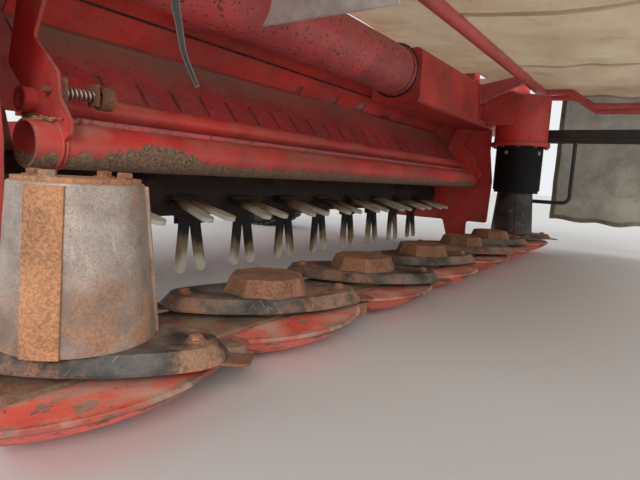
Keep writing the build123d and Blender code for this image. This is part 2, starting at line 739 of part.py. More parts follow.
# A cylinder lies along +X from its base pin, which is along Z
def cylinder_barrel(length):
    barrel_l = length * 0.62
    tube = rod_x(cyl_eye_r - 6, barrel_l, 0, 0, cyl_r)
    tube += rod_x(barrel_l - cyl_gland_l, barrel_l, 0, 0, cyl_r + cyl_gland_over)
    tube += rod_z(0, 0, -cyl_eye_w / 2, cyl_eye_w / 2, cyl_eye_r)
    tube -= rod_z(0, 0, -cyl_eye_w, cyl_eye_w, cyl_pin_r + run_gap)
    bore_start = cyl_eye_r + 12
    return tube - rod_x(bore_start, barrel_l + 1, 0, 0, cyl_rod_r + run_gap)


def cylinder_rod(length, stroke):
    barrel_l = length * 0.62
    start = max(barrel_l - 60, cyl_eye_r + 16 + max(stroke, 0))
    rod = rod_x(start, length - cyl_eye_r + 6, 0, 0, cyl_rod_r)
    rod += rod_z(length, 0, -cyl_eye_w / 2, cyl_eye_w / 2, cyl_eye_r)
    return rod - rod_z(length, 0, -cyl_eye_w, cyl_eye_w, cyl_pin_r + cyl_eye_slack)


def lift_place(shape):
    base_y, base_z = lift_base
    pin_y, pin_z = axle_y + crank_pin[0], axle_z + crank_pin[1]
    lean = degrees(atan2(pin_z - base_z, pin_y - base_y))
    stood = Rot(lean, 0, 0) * Rot(0, 0, 90) * Rot(90, 0, 0) * shape
    return Compound(children=both(Pos(crank_x, base_y, base_z) * stood))


def swing_place(shape):
    dx = tongue_x + swing_lug[0] - swing_base[0]
    dy = tongue_y + swing_lug[1] - swing_base[1]
    return Pos(*swing_base, swing_z) * Rot(0, 0, degrees(atan2(dy, dx))) * shape


def lift_length():
    return hypot(axle_y + crank_pin[0] - lift_base[0], axle_z + crank_pin[1] - lift_base[1])


def swing_length():
    return hypot(tongue_x + swing_lug[0] - swing_base[0], tongue_y + swing_lug[1] - swing_base[1])


# Drawbar: level box beam from the pivot to a flange, then the tongue down to the hitch eye
def drawbar():
    half = tongue_h / 2
    x0, x1 = tongue_x - tongue_w / 2, tongue_x + tongue_w / 2
    bar = block(x0, x1, tongue_joint_y, tongue_y, tongue_z - half, tongue_z + half)
    bar += tongue_flange(tongue_joint_y)
    bar += rod_z(tongue_x, tongue_y, tongue_z - half, tongue_z + half, pivot_box_r)
    lug_x, lug_y = tongue_x + swing_lug[0], tongue_y + swing_lug[1]
    side = cyl_eye_w / 2 + 6
    for z0 in (swing_z - side - 14, swing_z + side):
        bar += block(lug_x - 24, x0 + 1, lug_y - 30, lug_y + 30, z0, z0 + 14)
    bar += rod_z(lug_x, lug_y, swing_z - side - 1, swing_z + side + 1, cyl_pin_r)
    return bar


def tongue_flange(y):
    half_x = tongue_w / 2 + tongue_flange_over
    half_z = tongue_h / 2 + tongue_flange_over
    return block(tongue_x - half_x, tongue_x + half_x, y, y + tongue_flange_t,
                 tongue_z - half_z, tongue_z + half_z)


def drawbar_tongue():
    half = tongue_h / 2
    outline = [(tongue_joint_y, tongue_z + half), *tongue_top(), (hitch_y + 40, hitch_z - 38),
               (tongue_toe_y + 35, tongue_toe_z - half), (tongue_knee_y + 35, tongue_z - half),
               (tongue_joint_y, tongue_z - half)]
    bar = side_shape(outline, tongue_x - tongue_w / 2, tongue_x + tongue_w / 2)
    bar += tongue_flange(tongue_joint_y - tongue_flange_t)
    bar += rod_z(tongue_x, hitch_y, hitch_z - hitch_ring_t / 2, hitch_z + hitch_ring_t / 2, hitch_ring_r)
    bar += block(tongue_x - 30, tongue_x + 30, hitch_y + 30, hitch_y + 60, hitch_z - 15, hitch_z + 15)
    return bar - rod_z(tongue_x, hitch_y, hitch_z - 60, hitch_z + 60, hitch_eye_r)


def tongue_top():
    """Upper edge of the tongue from its knee to the hitch, in Y and Z."""
    half = tongue_h / 2
    return [(tongue_knee_y - 30, tongue_z + half), (tongue_toe_y - 25, tongue_toe_z + half),
            (hitch_y + 40, hitch_z + 38)]


def pivot_upper():
    z0 = tongue_z + tongue_h / 2
    cap = rod_z(tongue_x, tongue_y, z0, z0 + pivot_cap_h, pivot_cap_r)
    cap = chamfer(cap.edges().group_by(Axis.Z)[-1], 14)
    entry_y, entry_z = line_points()[0]
    return cap + rod_y(tongue_x, entry_y, tongue_y, entry_z, line_entry_r)


# Driveline guard over the drawbar, from the pivot gearbox down to the input bearing
def line_points():
    top = tongue_z + line_lift
    return [(tongue_y - line_entry, top), (tongue_knee_y - 60, top),
            (tongue_toe_y + 20, tongue_toe_z + line_toe_lift)]


def driveline_guard():
    a, b, c = [(tongue_x, y, z) for y, z in line_points()]
    guard = bent_tube([a, b, c], line_r, line_bend)
    feet = []
    top = tongue_z + tongue_h / 2
    for y in line_foot_y:
        feet.append(block(tongue_x - 30, tongue_x + 30, y - 12, y + 12, top, tongue_z + line_lift))
    end_y, end_z = line_points()[-1]
    bearing = block(tongue_x - 60, tongue_x + 60, end_y - 60, end_y + 20, tongue_toe_z + 60, end_z + 55)
    bearing -= rod_y(tongue_x, end_y - 61, end_y - 20, end_z, stub_r + run_gap)
    tongue_room = [*tongue_top(), (hitch_y + 40, 0), (tongue_knee_y - 30, 0)]
    bearing -= side_shape(tongue_room, tongue_x - tongue_w, tongue_x + tongue_w)
    return guard + feet + bearing


def input_shaft():
    end_y, end_z = line_points()[-1]
    shaft = rod_y(tongue_x, end_y - 60 - stub_l, end_y - 20 - run_gap, end_z, stub_r)
    collar = rod_y(tongue_x, end_y - 60 - run_gap - 12, end_y - 60 - run_gap, end_z, stub_r + 10)
    return shaft + collar


def jack_x():
    return tongue_x + tongue_w / 2 + jack_r


def jack_tube():
    x = jack_x()
    tube = rod_z(x, jack_y, jack_bottom, jack_top, jack_r)
    tube -= rod_z(x, jack_y, jack_bottom - 1, jack_top - 8, jack_leg_r + run_gap)
    crank = bent_tube([(x, jack_y, jack_top - 1), (x, jack_y, jack_top + crank_lift),
                       (x, jack_y - crank_arm, jack_top + crank_lift),
                       (x, jack_y - crank_arm, jack_top + crank_lift + crank_grip)], crank_r, 2.5 * crank_r)
    return tube + crank


def jack_leg():
    x = jack_x()
    leg = rod_z(x, jack_y, jack_foot_t - 1, jack_leg_top, jack_leg_r)
    half = jack_foot / 2
    foot = block(x - half, x + half, jack_y - half, jack_y + half, 0, jack_foot_t)
    return leg + fillet(foot.edges().filter_by(Axis.Z), jack_foot_corner)


def roof_bottom(y):
    return roof_rear_z - (roof_y1 - y) / (roof_y1 - roof_y0) * roof_drop


def roof_canvas():
    rear, front = roof_bottom(roof_y1), roof_bottom(roof_y0)
    slope = [(roof_y1, rear), (roof_y1, rear + roof_t), (roof_y0, front + roof_t), (roof_y0, front)]
    sheet = side_shape(slope, roof_x0, roof_x1)
    reach = pivot_box_r + roof_hole_gap
    low, high = front - 1, rear + roof_t + 1
    sheet -= block(tongue_x - reach, tongue_x + reach, tongue_y - reach, roof_y1 + 1, low, high)
    base_x, base_y = swing_base
    half_x, half_y = swing_post
    return sheet - block(base_x - half_x - roof_hole_gap, base_x + half_x + roof_hole_gap,
                         base_y - half_y - roof_hole_gap, roof_y1 + 1, low, high)


def canopy_frame():
    cross_z = roof_bottom(cross_tube_y) - canopy_tube_r - seat_gap
    rail_z = roof_bottom(front_rail_y) - rail_tube_r - 1
    frame = rod_x(arm_xs[0], arm_xs[-1], cross_tube_y, cross_z, canopy_tube_r)
    frame += rod_x(arm_xs[0], arm_xs[-1], front_rail_y, rail_z, rail_tube_r)
    for x in arm_xs:
        frame += bent_tube([(x, cross_tube_y, cross_z), (x, cross_tube_y - 160, cross_z - 6),
                            (x, cross_tube_y - 280, arm_knee_z), (x, front_rail_y + 140, arm_front_z),
                            (x, front_rail_y, rail_z)], arm_tube_r, 40)
    web_y = cross_tube_y - 30
    ear_y = beam_y + 20
    ear_z = roof_bottom(ear_y - 60) - seat_gap
    ear = [(ear_y - 60, ear_z), (ear_y, ear_z), (ear_y, beam_z + 40)]
    low_web = [(web_y, cross_z - 30), (web_y, cross_z + 10), (ear_y - 60, cross_z + 10), *ear,
               (beam_y - 90, beam_z - 20)]
    shield = [(shield_front_y, shield_bottom), (shield_front_y, cross_z + 10),
              (ear_y - 60, cross_z + 10), *ear, (beam_y, shield_bottom)]
    for x, outline in ((web_x, low_web), (shield_x, shield)):
        web = side_shape(outline, x, x + web_t)
        frame += web - rod_x(x - 1, x + web_t + 1, beam_y, beam_z, beam_r + seat_gap)
    frame += side_shape([(web_y, cross_z - 30), (web_y, cross_z + 10), (housing_y0, cross_z - 30),
                         (housing_y0, cross_z - 130)], end_web_x, end_web_x + web_t)
    prop_y = housing_y0 + 40
    prop_top = roof_bottom(prop_y) - seat_gap
    frame += block(end_web_x, end_web_x + web_t, prop_y, prop_y + 60, housing_z1, prop_top)
    for x in hinge_lug_xs:
        frame += hinge_lug(x, rail_z)
    return frame


def hinge_lug(x, rail_z):
    x0, x1 = x - hinge_lug_w / 2, x + hinge_lug_w / 2
    lug = block(x0, x1, guard_hinge_y - 20, front_rail_y, rail_z - 12, rail_z + 12)
    lug += rod_x(x0, x1, guard_hinge_y, guard_hinge_z, hinge_lug_r)
    return lug - rod_x(x0 - 1, x1 + 1, guard_hinge_y, guard_hinge_z, guard_hinge_r + run_gap)


def front_guard_frame():
    over = 2 * front_guard_r
    bar = rod_x(front_guard_x0 - over, front_guard_x1 + over, guard_hinge_y, guard_hinge_z, guard_hinge_r)
    far = guard_hinge_y - front_guard_l
    bar += rod_x(front_guard_x0 - over, front_guard_x1 + over, far, guard_hinge_z, front_guard_r)
    for x in (front_guard_x0, *guard_bar_xs, front_guard_x1):
        bar += rod_y(x, far, guard_hinge_y, guard_hinge_z, guard_hinge_r - 1)
    return bar


def front_guard_canvas():
    far = guard_hinge_y - front_guard_l
    top = guard_hinge_z + front_guard_r + seat_gap
    near = guard_hinge_y - 30
    return block(front_guard_x0, front_guard_x1, far - front_guard_r, near, top, top + guard_cloth_t)


def inner_curtain():
    rear, front = roof_bottom(curtain_y1), roof_bottom(roof_y0)
    return side_shape([(curtain_y1, rear - seat_gap), (roof_y0, front - seat_gap), (roof_y0, curtain_bottom),
                       (curtain_y1, curtain_bottom)], curtain_x, curtain_x + curtain_t)


def outer_roll():
    z = arm_front_z - arm_tube_r - roll_r - seat_gap
    return rod_y(arm_xs[0], front_rail_y + 20, roll_rear_y, z, roll_r)


def inner_guard():
    x = arm_xs[2]
    y0 = head_y0 + 30
    top = bent_tube([(x, y0, housing_z0), (x, y0, loop_z), (x, loop_y, loop_z),
                     (x, loop_y, arm_front_z - arm_tube_r + seat_gap)], loop_r, 2 * loop_r)
    post = bent_tube([(x, loop_post_y, loop_z), (x, loop_post_y, loop_post_z),
                      (x, loop_post_end, loop_post_z)], loop_post_r, 40)
    return top + post


# Comb latch: rod through the outer hanger plate with a clevis, a lug and a bored collar
def comb_latch():
    x0 = hanger_x[0] + plate_t
    end = x0 + latch_reach
    rod = rod_x(hanger_x[0] - 14, end, latch_y, latch_z, latch_rod_r)
    clevis = block(x0, x0 + 16, latch_y - 18, latch_y + 14, latch_z - 20, latch_z + 24)
    lug_x1 = end - collar_l - 6
    lug = block(lug_x1 - plate_t, lug_x1, latch_y - 15, latch_y + 15, latch_z - 18, latch_z + 24)
    collar = rod_x(end - collar_l, end, latch_y, latch_z, collar_r)
    collar -= rod_x(end - collar_l - 1, end - 8, latch_y, latch_z, collar_bore_r)
    return rod + clevis + lug + collar


def door(side):
    x = side * door_x
    front_y = door_y + door_sleeve_r - 2
    sheet = block(x - door_t / 2, x + door_t / 2, front_y, door_y + door_l, door_z0, door_z1)
    sheet = fillet(sheet.edges().filter_by(Axis.X).sort_by(Axis.Y)[-2:], door_corner)
    sleeve = rod_z(x, door_y, door_z0 + 60, door_z1, door_sleeve_r)
    return sheet + sleeve - rod_z(x, door_y, 0, door_z1 + 1, door_pin_r + run_gap)


for n in range(1, disc_count + 1):
    parts[f"disc_{n}"] = disc(n)
    parts[f"blades_{n}"] = blades(n)
parts["drum_1"] = drum(1)
parts[f"drum_{disc_count}"] = drum(disc_count)
parts["cutter_bar"] = cutter_bar()
parts["skid_shoes"] = Compound(children=[skid_shoe(disc_x(n)) for n in range(1, disc_count + 1)])
parts["side_plate_right"] = side_plate(False)
parts["side_plate_left"] = side_plate(True)
parts["main_beam"] = main_beam()
parts["front_tube"] = front_tube()
parts["hanger_plates"] = hanger_plates()
parts["comb_plate"] = comb_plate()
parts["comb_pivot"] = comb_pivot()
parts["comb_latch"] = comb_latch()
parts["hood"] = hood()
parts["rotor_tube"] = rotor_tube()
parts["tines"] = tines()
parts["gear_housing"] = gear_housing()
parts["pivot_lower"] = pivot_lower()
parts["drum_guard"] = drum_guard()
parts["drive_cover"] = drive_cover()
parts["rear_frame"] = rear_frame()
parts["axle_frame"] = axle_frame()
parts["tyre_right"] = tyre(-wheel_x)
parts["tyre_left"] = tyre(wheel_x)
parts["rim_right"] = rim(-wheel_x)
parts["rim_left"] = rim(wheel_x)
parts["lift_barrels"] = lift_place(cylinder_barrel(lift_length()))
parts["lift_rods"] = lift_place(cylinder_rod(lift_length(), 0))
parts["swing_barrel"] = swing_place(cylinder_barrel(swing_length()))
parts["swing_rod"] = swing_place(cylinder_rod(swing_length(), swing_stroke))
parts["drawbar"] = drawbar()
parts["drawbar_tongue"] = drawbar_tongue()
parts["pivot_upper"] = pivot_upper()
parts["driveline_guard"] = driveline_guard()
parts["input_shaft"] = input_shaft()
parts["jack_tube"] = jack_tube()
parts["jack_leg"] = jack_leg()
parts["roof_canvas"] = roof_canvas()
parts["canopy_frame"] = canopy_frame()
parts["inner_curtain"] = inner_curtain()
parts["outer_roll"] = outer_roll()
parts["inner_guard"] = inner_guard()
parts["front_guard_frame"] = front_guard_frame()
parts["front_guard_canvas"] = front_guard_canvas()
parts["door_left"] = door(1)
parts["door_right"] = door(-1)

os.makedirs("parts", exist_ok=True)
for name, shape in parts.items():
    export_step(shape, f"parts/{name}.step")
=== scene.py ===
import math
import random

import bpy
from mathutils import Matrix, Vector, noise


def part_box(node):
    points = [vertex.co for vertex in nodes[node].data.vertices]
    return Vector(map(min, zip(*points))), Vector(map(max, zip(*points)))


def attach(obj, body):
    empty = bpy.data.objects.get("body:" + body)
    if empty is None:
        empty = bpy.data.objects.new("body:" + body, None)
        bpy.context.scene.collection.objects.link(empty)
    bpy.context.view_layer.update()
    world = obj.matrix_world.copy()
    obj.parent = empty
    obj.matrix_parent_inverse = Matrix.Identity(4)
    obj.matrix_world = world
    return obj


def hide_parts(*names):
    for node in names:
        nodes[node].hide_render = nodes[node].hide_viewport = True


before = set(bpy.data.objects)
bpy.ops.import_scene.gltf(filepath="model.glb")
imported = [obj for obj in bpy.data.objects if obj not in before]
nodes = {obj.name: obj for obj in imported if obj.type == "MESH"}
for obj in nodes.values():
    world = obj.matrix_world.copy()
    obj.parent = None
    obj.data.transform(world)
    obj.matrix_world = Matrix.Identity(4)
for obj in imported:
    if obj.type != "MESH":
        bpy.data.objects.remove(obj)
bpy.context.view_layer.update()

print("stage: frame loaded,", len(nodes), "nodes")


def tint(red, green, blue):
    # a colour as the eye reads it, 0 to 255, turned to linear light
    parts = [c / 255 for c in (red, green, blue)]
    return tuple(p / 12.92 if p <= 0.04 else ((p + 0.055) / 1.055) ** 2.4 for p in parts) + (1.0,)


def shades(**values):
    # the values of a finish; its colours are given as the eye reads them
    return {name: tint(*value) if isinstance(value, tuple) else value for name, value in values.items()}


def vary(base, **changes):
    return {**base, **shades(**changes)}


def boxMiddle(name):
    low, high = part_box(name)
    return (low + high) / 2


def newMesh(name, verts, faces=()):
    mesh = bpy.data.meshes.new(name)
    mesh.from_pydata(verts, [], faces)
    return mesh


def addObject(name, data):
    thing = bpy.data.objects.new(name, data)
    bpy.context.scene.collection.objects.link(thing)
    return thing


# Small helpers for node trees

def connect(tree, node, inputs):
    for name, value in inputs.items():
        if isinstance(value, bpy.types.NodeSocket):
            tree.links.new(value, node.inputs[name])
        else:
            node.inputs[name].default_value = value


def addNode(tree, kind, inputs=None, **settings):
    node = tree.nodes.new(kind)
    for name, value in settings.items():
        setattr(node, name, value)
    connect(tree, node, inputs or {})
    return node


def result(tree, kind, inputs=None, **settings):
    return addNode(tree, kind, inputs, **settings).outputs[0]


def calc(tree, operation, a, b=0.0, c=0.0, clamp=False):
    return result(tree, "ShaderNodeMath", {0: a, 1: b, 2: c}, operation=operation, use_clamp=clamp)


def plus(tree, a, b):
    return calc(tree, "ADD", a, b)


def minus(tree, a, b):
    return calc(tree, "SUBTRACT", a, b)


def times(tree, a, b, clamp=False):
    return calc(tree, "MULTIPLY", a, b, clamp=clamp)


def timesAdd(tree, a, b, c):
    return calc(tree, "MULTIPLY_ADD", a, b, c)


def larger(tree, a, b):
    return calc(tree, "MAXIMUM", a, b)


def distance(tree, a, b):
    # the distance from an axis, from the two offsets across it
    return calc(tree, "SQRT", plus(tree, calc(tree, "POWER", a, 2.0), calc(tree, "POWER", b, 2.0)))


def blend(tree, factor, a, b):
    return addNode(tree, "ShaderNodeMix", {0: factor, 6: a, 7: b}, data_type="RGBA").outputs[2]


def lerp(tree, factor, a, b):
    return result(tree, "ShaderNodeMix", {0: factor, 2: a, 3: b}, data_type="FLOAT")


def remap(tree, value, low, high, first=0.0, last=1.0, way="SMOOTHSTEP"):
    wanted = {"Value": value, "From Min": low, "From Max": high, "To Min": first, "To Max": last}
    return result(tree, "ShaderNodeMapRange", wanted, interpolation_type=way)


def cloud(tree, place, scale, detail=4.0, rough=0.6, stretch=None):
    # soft noise, 0 to 1, on the given coordinates
    if stretch:
        place = result(tree, "ShaderNodeVectorMath", {0: place, 1: stretch}, operation="MULTIPLY")
    wanted = {"Vector": place, "Scale": scale, "Detail": detail, "Roughness": rough}
    return addNode(tree, "ShaderNodeTexNoise", wanted).outputs["Fac"]


def splitPlace(tree, place):
    return tuple(addNode(tree, "ShaderNodeSeparateXYZ", {0: place}).outputs)


def startGroup(name, inputs, outputs, family="ShaderNodeTree"):
    tree = bpy.data.node_groups.new(name, family)
    for label, kind, value in inputs:
        socket = tree.interface.new_socket(label, in_out="INPUT", socket_type="NodeSocket" + kind)
        if value is not None:
            socket.default_value = value
    for label, kind in outputs:
        tree.interface.new_socket(label, in_out="OUTPUT", socket_type="NodeSocket" + kind)
    return tree, tree.nodes.new("NodeGroupInput").outputs, tree.nodes.new("NodeGroupOutput").inputs


def useGroup(tree, group, **inputs):
    node = addNode(tree, "ShaderNodeGroup", node_tree=group)
    connect(tree, node, inputs)
    return node.outputs


# Shared effects

def startEffect(name, outputs, **values):
    # every effect reads a place on the surface and puts out masks or heights
    inputs = [("place", "Vector", None)] + [(label, "Float", value) for label, value in values.items()]
    return startGroup(name, inputs, [(label, "Float") for label in outputs])


def makeEdgeWear():
    tree, given, out = startEffect("edgeWear", ["mask"], radius=0.006, amount=0.5, grain=40.0)
    rounded = addNode(tree, "ShaderNodeBevel", {"Radius": given["radius"]}, samples=4)
    flat = addNode(tree, "ShaderNodeNewGeometry")
    agree = addNode(tree, "ShaderNodeVectorMath", {0: rounded.outputs[0], 1: flat.outputs["Normal"]},
                    operation="DOT_PRODUCT").outputs["Value"]
    edge = remap(tree, minus(tree, 1.0, agree), 0.01, 0.16)
    rag = minus(tree, cloud(tree, given["place"], given["grain"], 6.0, 0.7), 0.5)
    grown = timesAdd(tree, rag, 1.6, edge)
    mask = remap(tree, minus(tree, grown, minus(tree, 1.0, given["amount"])), 0.0, 0.12)
    tree.links.new(times(tree, mask, edge, clamp=True), out["mask"])
    return tree


def makePatches():
    tree, given, out = startEffect("patches", ["mask"], scale=5.0, cover=0.4, soft=0.05)
    field = cloud(tree, given["place"], given["scale"], 9.0, 0.68)
    # noise gathers about 0.5, so the cover is stretched to match
    limit = remap(tree, given["cover"], 0.0, 1.0, 0.74, 0.28)
    shown = remap(tree, field, minus(tree, limit, given["soft"]), plus(tree, limit, given["soft"]))
    tree.links.new(shown, out["mask"])
    return tree


def makeDust():
    tree, given, out = startEffect("dust", ["mask"], amount=0.5, scale=9.0)
    normal = addNode(tree, "ShaderNodeNewGeometry").outputs["Normal"]
    up = remap(tree, splitPlace(tree, normal)[2], 0.1, 0.95)
    field = remap(tree, cloud(tree, given["place"], given["scale"], 8.0, 0.65), 0.36, 0.66)
    film = timesAdd(tree, up, 0.75, 0.25)
    tree.links.new(times(tree, times(tree, film, field), given["amount"], clamp=True), out["mask"])
    return tree


def makeGrain():
    tree, given, out = startEffect("grain", ["height"], scale=400.0)
    fine = cloud(tree, given["place"], given["scale"], 3.0, 0.6)
    broad = cloud(tree, given["place"], times(tree, given["scale"], 0.12), 3.0, 0.5)
    tree.links.new(lerp(tree, 0.45, fine, broad), out["height"])
    return tree


def makeScratches():
    tree, given, out = startEffect("scratches", ["mask"], scale=30.0, amount=0.3)
    total = None
    for stretch in ((1.0, 14.0, 1.2), (13.0, 1.0, 1.5), (6.0, 5.0, 1.0)):
        line = remap(tree, cloud(tree, given["place"], given["scale"], 2.0, 0.5, stretch), 0.66, 0.72)
        total = line if total is None else larger(tree, total, line)
    gate = remap(tree, cloud(tree, given["place"], 11.0, 3.0), 0.45, 0.6)
    tree.links.new(times(tree, times(tree, total, gate), given["amount"], clamp=True), out["mask"])
    return tree


def makeWeave():
    tree, given, out = startEffect("weave", ["height", "shade"], thread=0.0016)
    turns = calc(tree, "DIVIDE", math.pi, given["thread"])
    u, v, _ = splitPlace(tree, given["place"])
    warp = calc(tree, "SINE", times(tree, u, turns))
    weft = calc(tree, "SINE", times(tree, v, turns))
    crossing = times(tree, warp, weft)
    slub = cloud(tree, given["place"], 90.0, 3.0, 0.6, (1.0, 8.0, 1.0))
    tree.links.new(timesAdd(tree, crossing, 0.5, 0.5), out["height"])
    tree.links.new(timesAdd(tree, crossing, 0.12, slub), out["shade"])
    return tree


edgeWear, patches, dust = makeEdgeWear(), makePatches(), makeDust()
grain, scratches, weave = makeGrain(), makeScratches(), makeWeave()


def edgeMask(tree, place, radius, amount, ragScale):
    return useGroup(tree, edgeWear, place=place, radius=radius, amount=amount, grain=ragScale)[0]


def patchMask(tree, place, scale, cover, soft):
    return useGroup(tree, patches, place=place, scale=scale, cover=cover, soft=soft)[0]


def dustMask(tree, place, amount, scale):
    return useGroup(tree, dust, place=place, amount=amount, scale=scale)[0]


def grainHeight(tree, place, scale):
    return useGroup(tree, grain, place=place, scale=scale)[0]


def startMaterial(name, roughness=0.6):
    material = bpy.data.materials.new(name)
    material.use_nodes = True
    tree = material.node_tree
    shader = tree.nodes["Principled BSDF"]
    shader.inputs["Roughness"].default_value = roughness
    place = addNode(tree, "ShaderNodeTexCoord").outputs["Object"]
    return material, tree, shader, place


def finishMaterial(tree, shader, colour, roughness, height, strength, distance, metallic=None):
    tree.links.new(colour, shader.inputs["Base Color"])
    tree.links.new(roughness, shader.inputs["Roughness"])
    if metallic is not None:
        tree.links.new(metallic, shader.inputs["Metallic"])
    bump = addNode(tree, "ShaderNodeBump", {"Strength": strength, "Distance": distance, "Height": height})
    tree.links.new(bump.outputs[0], shader.inputs["Normal"])


# Faded red paint over steel, worn to brown where the crop and the stones rub it
redLook = shades(
    bright=(226, 66, 60), dull=(182, 56, 56), shade=(124, 52, 54),
    rust=(116, 78, 62), steel=(70, 56, 52), dust=(170, 146, 124),
    film=0.34, fleck=0.32, edge=0.55, edgeRadius=0.006, dustAmount=0.55, gloss=0.46,
    speckle=60.0,
)


def paintMaterial(name, base, worn=None, dusty=None, **changes):
    look = vary(base, **changes)
    material, tree, shader, place = startMaterial(name)
    fade = remap(tree, cloud(tree, place, 2.6, 5.0, 0.6), 0.36, 0.64)
    colour = blend(tree, fade, look["dull"], look["bright"])
    film = patchMask(tree, place, 4.5, look["film"], 0.10)
    colour = blend(tree, times(tree, film, 0.7), colour, look["shade"])
    fleck = patchMask(tree, place, 75.0, look["fleck"], 0.012)
    edge = edgeMask(tree, place, look["edgeRadius"], look["edge"], 55.0)
    bare = larger(tree, fleck, edge)
    if worn:
        bare = larger(tree, bare, worn(tree, place))
    speckle = remap(tree, cloud(tree, place, look["speckle"], 5.0), 0.36, 0.64)
    metal = blend(tree, speckle, look["steel"], look["rust"])
    colour = blend(tree, bare, colour, metal)
    film = dustMask(tree, place, look["dustAmount"], 12.0)
    if dusty:
        film = larger(tree, film, dusty(tree, place))
    colour = blend(tree, film, colour, look["dust"])
    rough = lerp(tree, larger(tree, bare, film), look["gloss"], 0.86)
    height = grainHeight(tree, place, 260.0)
    height = timesAdd(tree, bare, -0.8, height)
    finishMaterial(tree, shader, colour, rough, height, 0.35, 0.0012)
    return material


tubeWear = {"ragScale": 14.0, "ragStretch": (3.2, 1.0, 0.7), "level": -1.13,
            "patchAt": -0.98, "patchReach": 0.17, "patchRise": 0.75}


def undersideWorn(tree, place):
    # the tube's paint is gone along its lower front, with a ragged upper edge and a patch at the outer end
    low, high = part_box("front_tube")
    middle = (low + high) / 2
    x, y, z = splitPlace(tree, place)
    level = calc(tree, "DIVIDE", minus(tree, z, middle.z), (high.z - low.z) / 2)
    rag = cloud(tree, place, tubeWear["ragScale"], 6.0, 0.7, tubeWear["ragStretch"])
    line = timesAdd(tree, rag, 1.5, tubeWear["level"])
    away = calc(tree, "ABSOLUTE", minus(tree, x, tubeWear["patchAt"]))
    patch = remap(tree, away, 0.0, tubeWear["patchReach"], tubeWear["patchRise"], 0.0)
    return remap(tree, minus(tree, plus(tree, line, patch), level), -0.03, 0.05)


combDirt = {"below": 0.055, "above": 0.045, "most": 0.9, "along": 1.3, "innerShare": 0.45}


def combDust(tree, place):
    # dust lies along the comb's upper edge, most of it at the outer end
    low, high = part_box("comb_plate")
    x, y, z = splitPlace(tree, place)
    rise = timesAdd(tree, cloud(tree, place, 7.0, 6.0, 0.65), 0.10, z)
    edge = remap(tree, rise, high.z - combDirt["below"], high.z + combDirt["above"], 0.0, combDirt["most"])
    inner = remap(tree, x, low.x, low.x + combDirt["along"], 1.0, combDirt["innerShare"], "LINEAR")
    return times(tree, edge, inner)


shoeRim = (-0.225, -0.165)       # from y to y, bare to painted


def shoeWorn(tree, place):
    # the shoes are bare at their front rim and where the stones strike
    front = remap(tree, splitPlace(tree, place)[1], *shoeRim, 1.0, 0.0)
    rag = cloud(tree, place, 24.0, 7.0, 0.7)
    return remap(tree, timesAdd(tree, front, 0.32, rag), 0.53, 0.60)


# Bare and rusted steel
steelLook = shades(
    dark=(70, 66, 64), light=(132, 126, 122), rustDark=(102, 72, 58),
    rustLight=(160, 106, 72), rust=0.45, dust=(150, 132, 112), dustAmount=0.35,
    scratch=0.5, scratched=(196, 190, 182), metal=0.45, pits=0.3,
)


def steelMaterial(name, base, rusted=None, **changes):
    look = vary(base, **changes)
    material, tree, shader, place = startMaterial(name)
    tone = remap(tree, cloud(tree, place, 9.0, 7.0, 0.65), 0.36, 0.66)
    colour = blend(tree, tone, look["dark"], look["light"])
    line = useGroup(tree, scratches, place=place, scale=26.0, amount=look["scratch"])[0]
    colour = blend(tree, line, colour, look["scratched"])
    pits = remap(tree, cloud(tree, place, 380.0, 3.0, 0.7), 0.50, 0.62, 0.0, look["pits"])
    colour = blend(tree, pits, colour, look["rustDark"])
    rust = patchMask(tree, place, 7.0, look["rust"], 0.06)
    if rusted:
        rust = larger(tree, rust, rusted(tree, place))
    # a fine stipple on broad patches
    stipple = remap(tree, cloud(tree, place, 230.0, 3.0, 0.7), 0.40, 0.60)
    scale = lerp(tree, 0.45, stipple, remap(tree, cloud(tree, place, 11.0, 6.0, 0.7), 0.38, 0.62))
    rustColour = blend(tree, scale, look["rustDark"], look["rustLight"])
    colour = blend(tree, rust, colour, rustColour)
    film = dustMask(tree, place, look["dustAmount"], 14.0)
    colour = blend(tree, film, colour, look["dust"])
    dull = larger(tree, rust, film)
    rough = lerp(tree, dull, 0.46, 0.9)
    metallic = times(tree, minus(tree, 1.0, dull), look["metal"], clamp=True)
    height = grainHeight(tree, place, 320.0)
    height = timesAdd(tree, times(tree, rust, scale), 0.9, height)
    finishMaterial(tree, shader, colour, rough, height, 0.5, 0.0012, metallic)
    return material


# heights and radii of the drum's cone, how far its strips stand proud, how far down its cap reaches
drumCone = {"foot": (0.112, 0.109), "top": (0.341, 0.091), "proud": (0.0022, 0.0032),
            "cap": (0.0075, 0.006)}


def drumRust(tree, place):
    # the wear strips stand proud of the drum's cone and are rusted through, as is its cap
    low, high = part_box("drum_1")
    x, y, z = splitPlace(tree, place)
    radius = distance(tree, minus(tree, x, (low.x + high.x) / 2), y)
    (foot, footRadius), (top, topRadius) = drumCone["foot"], drumCone["top"]
    cone = remap(tree, z, foot, top, footRadius, topRadius, "LINEAR")
    proud = remap(tree, minus(tree, radius, cone), *drumCone["proud"])
    cap = remap(tree, z, high.z - drumCone["cap"][0], high.z - drumCone["cap"][1])
    # the drum's foot is rusted in patches that thin out upwards
    rise = timesAdd(tree, cloud(tree, place, 16.0, 6.0), 0.16, z)
    patch = remap(tree, cloud(tree, place, 13.0, 6.0, 0.65), 0.42, 0.58, 0.15, 1.0)
    stain = times(tree, remap(tree, rise, 0.22, 0.32, 0.75, 0.0), patch)
    return larger(tree, larger(tree, proud, cap), stain)


hatFoot = (0.1125, 0.1135)


def hatRust(tree, place):
    # the hats rust more than the disc that the crop keeps bare
    return remap(tree, splitPlace(tree, place)[2], *hatFoot, 0.0, 0.92)


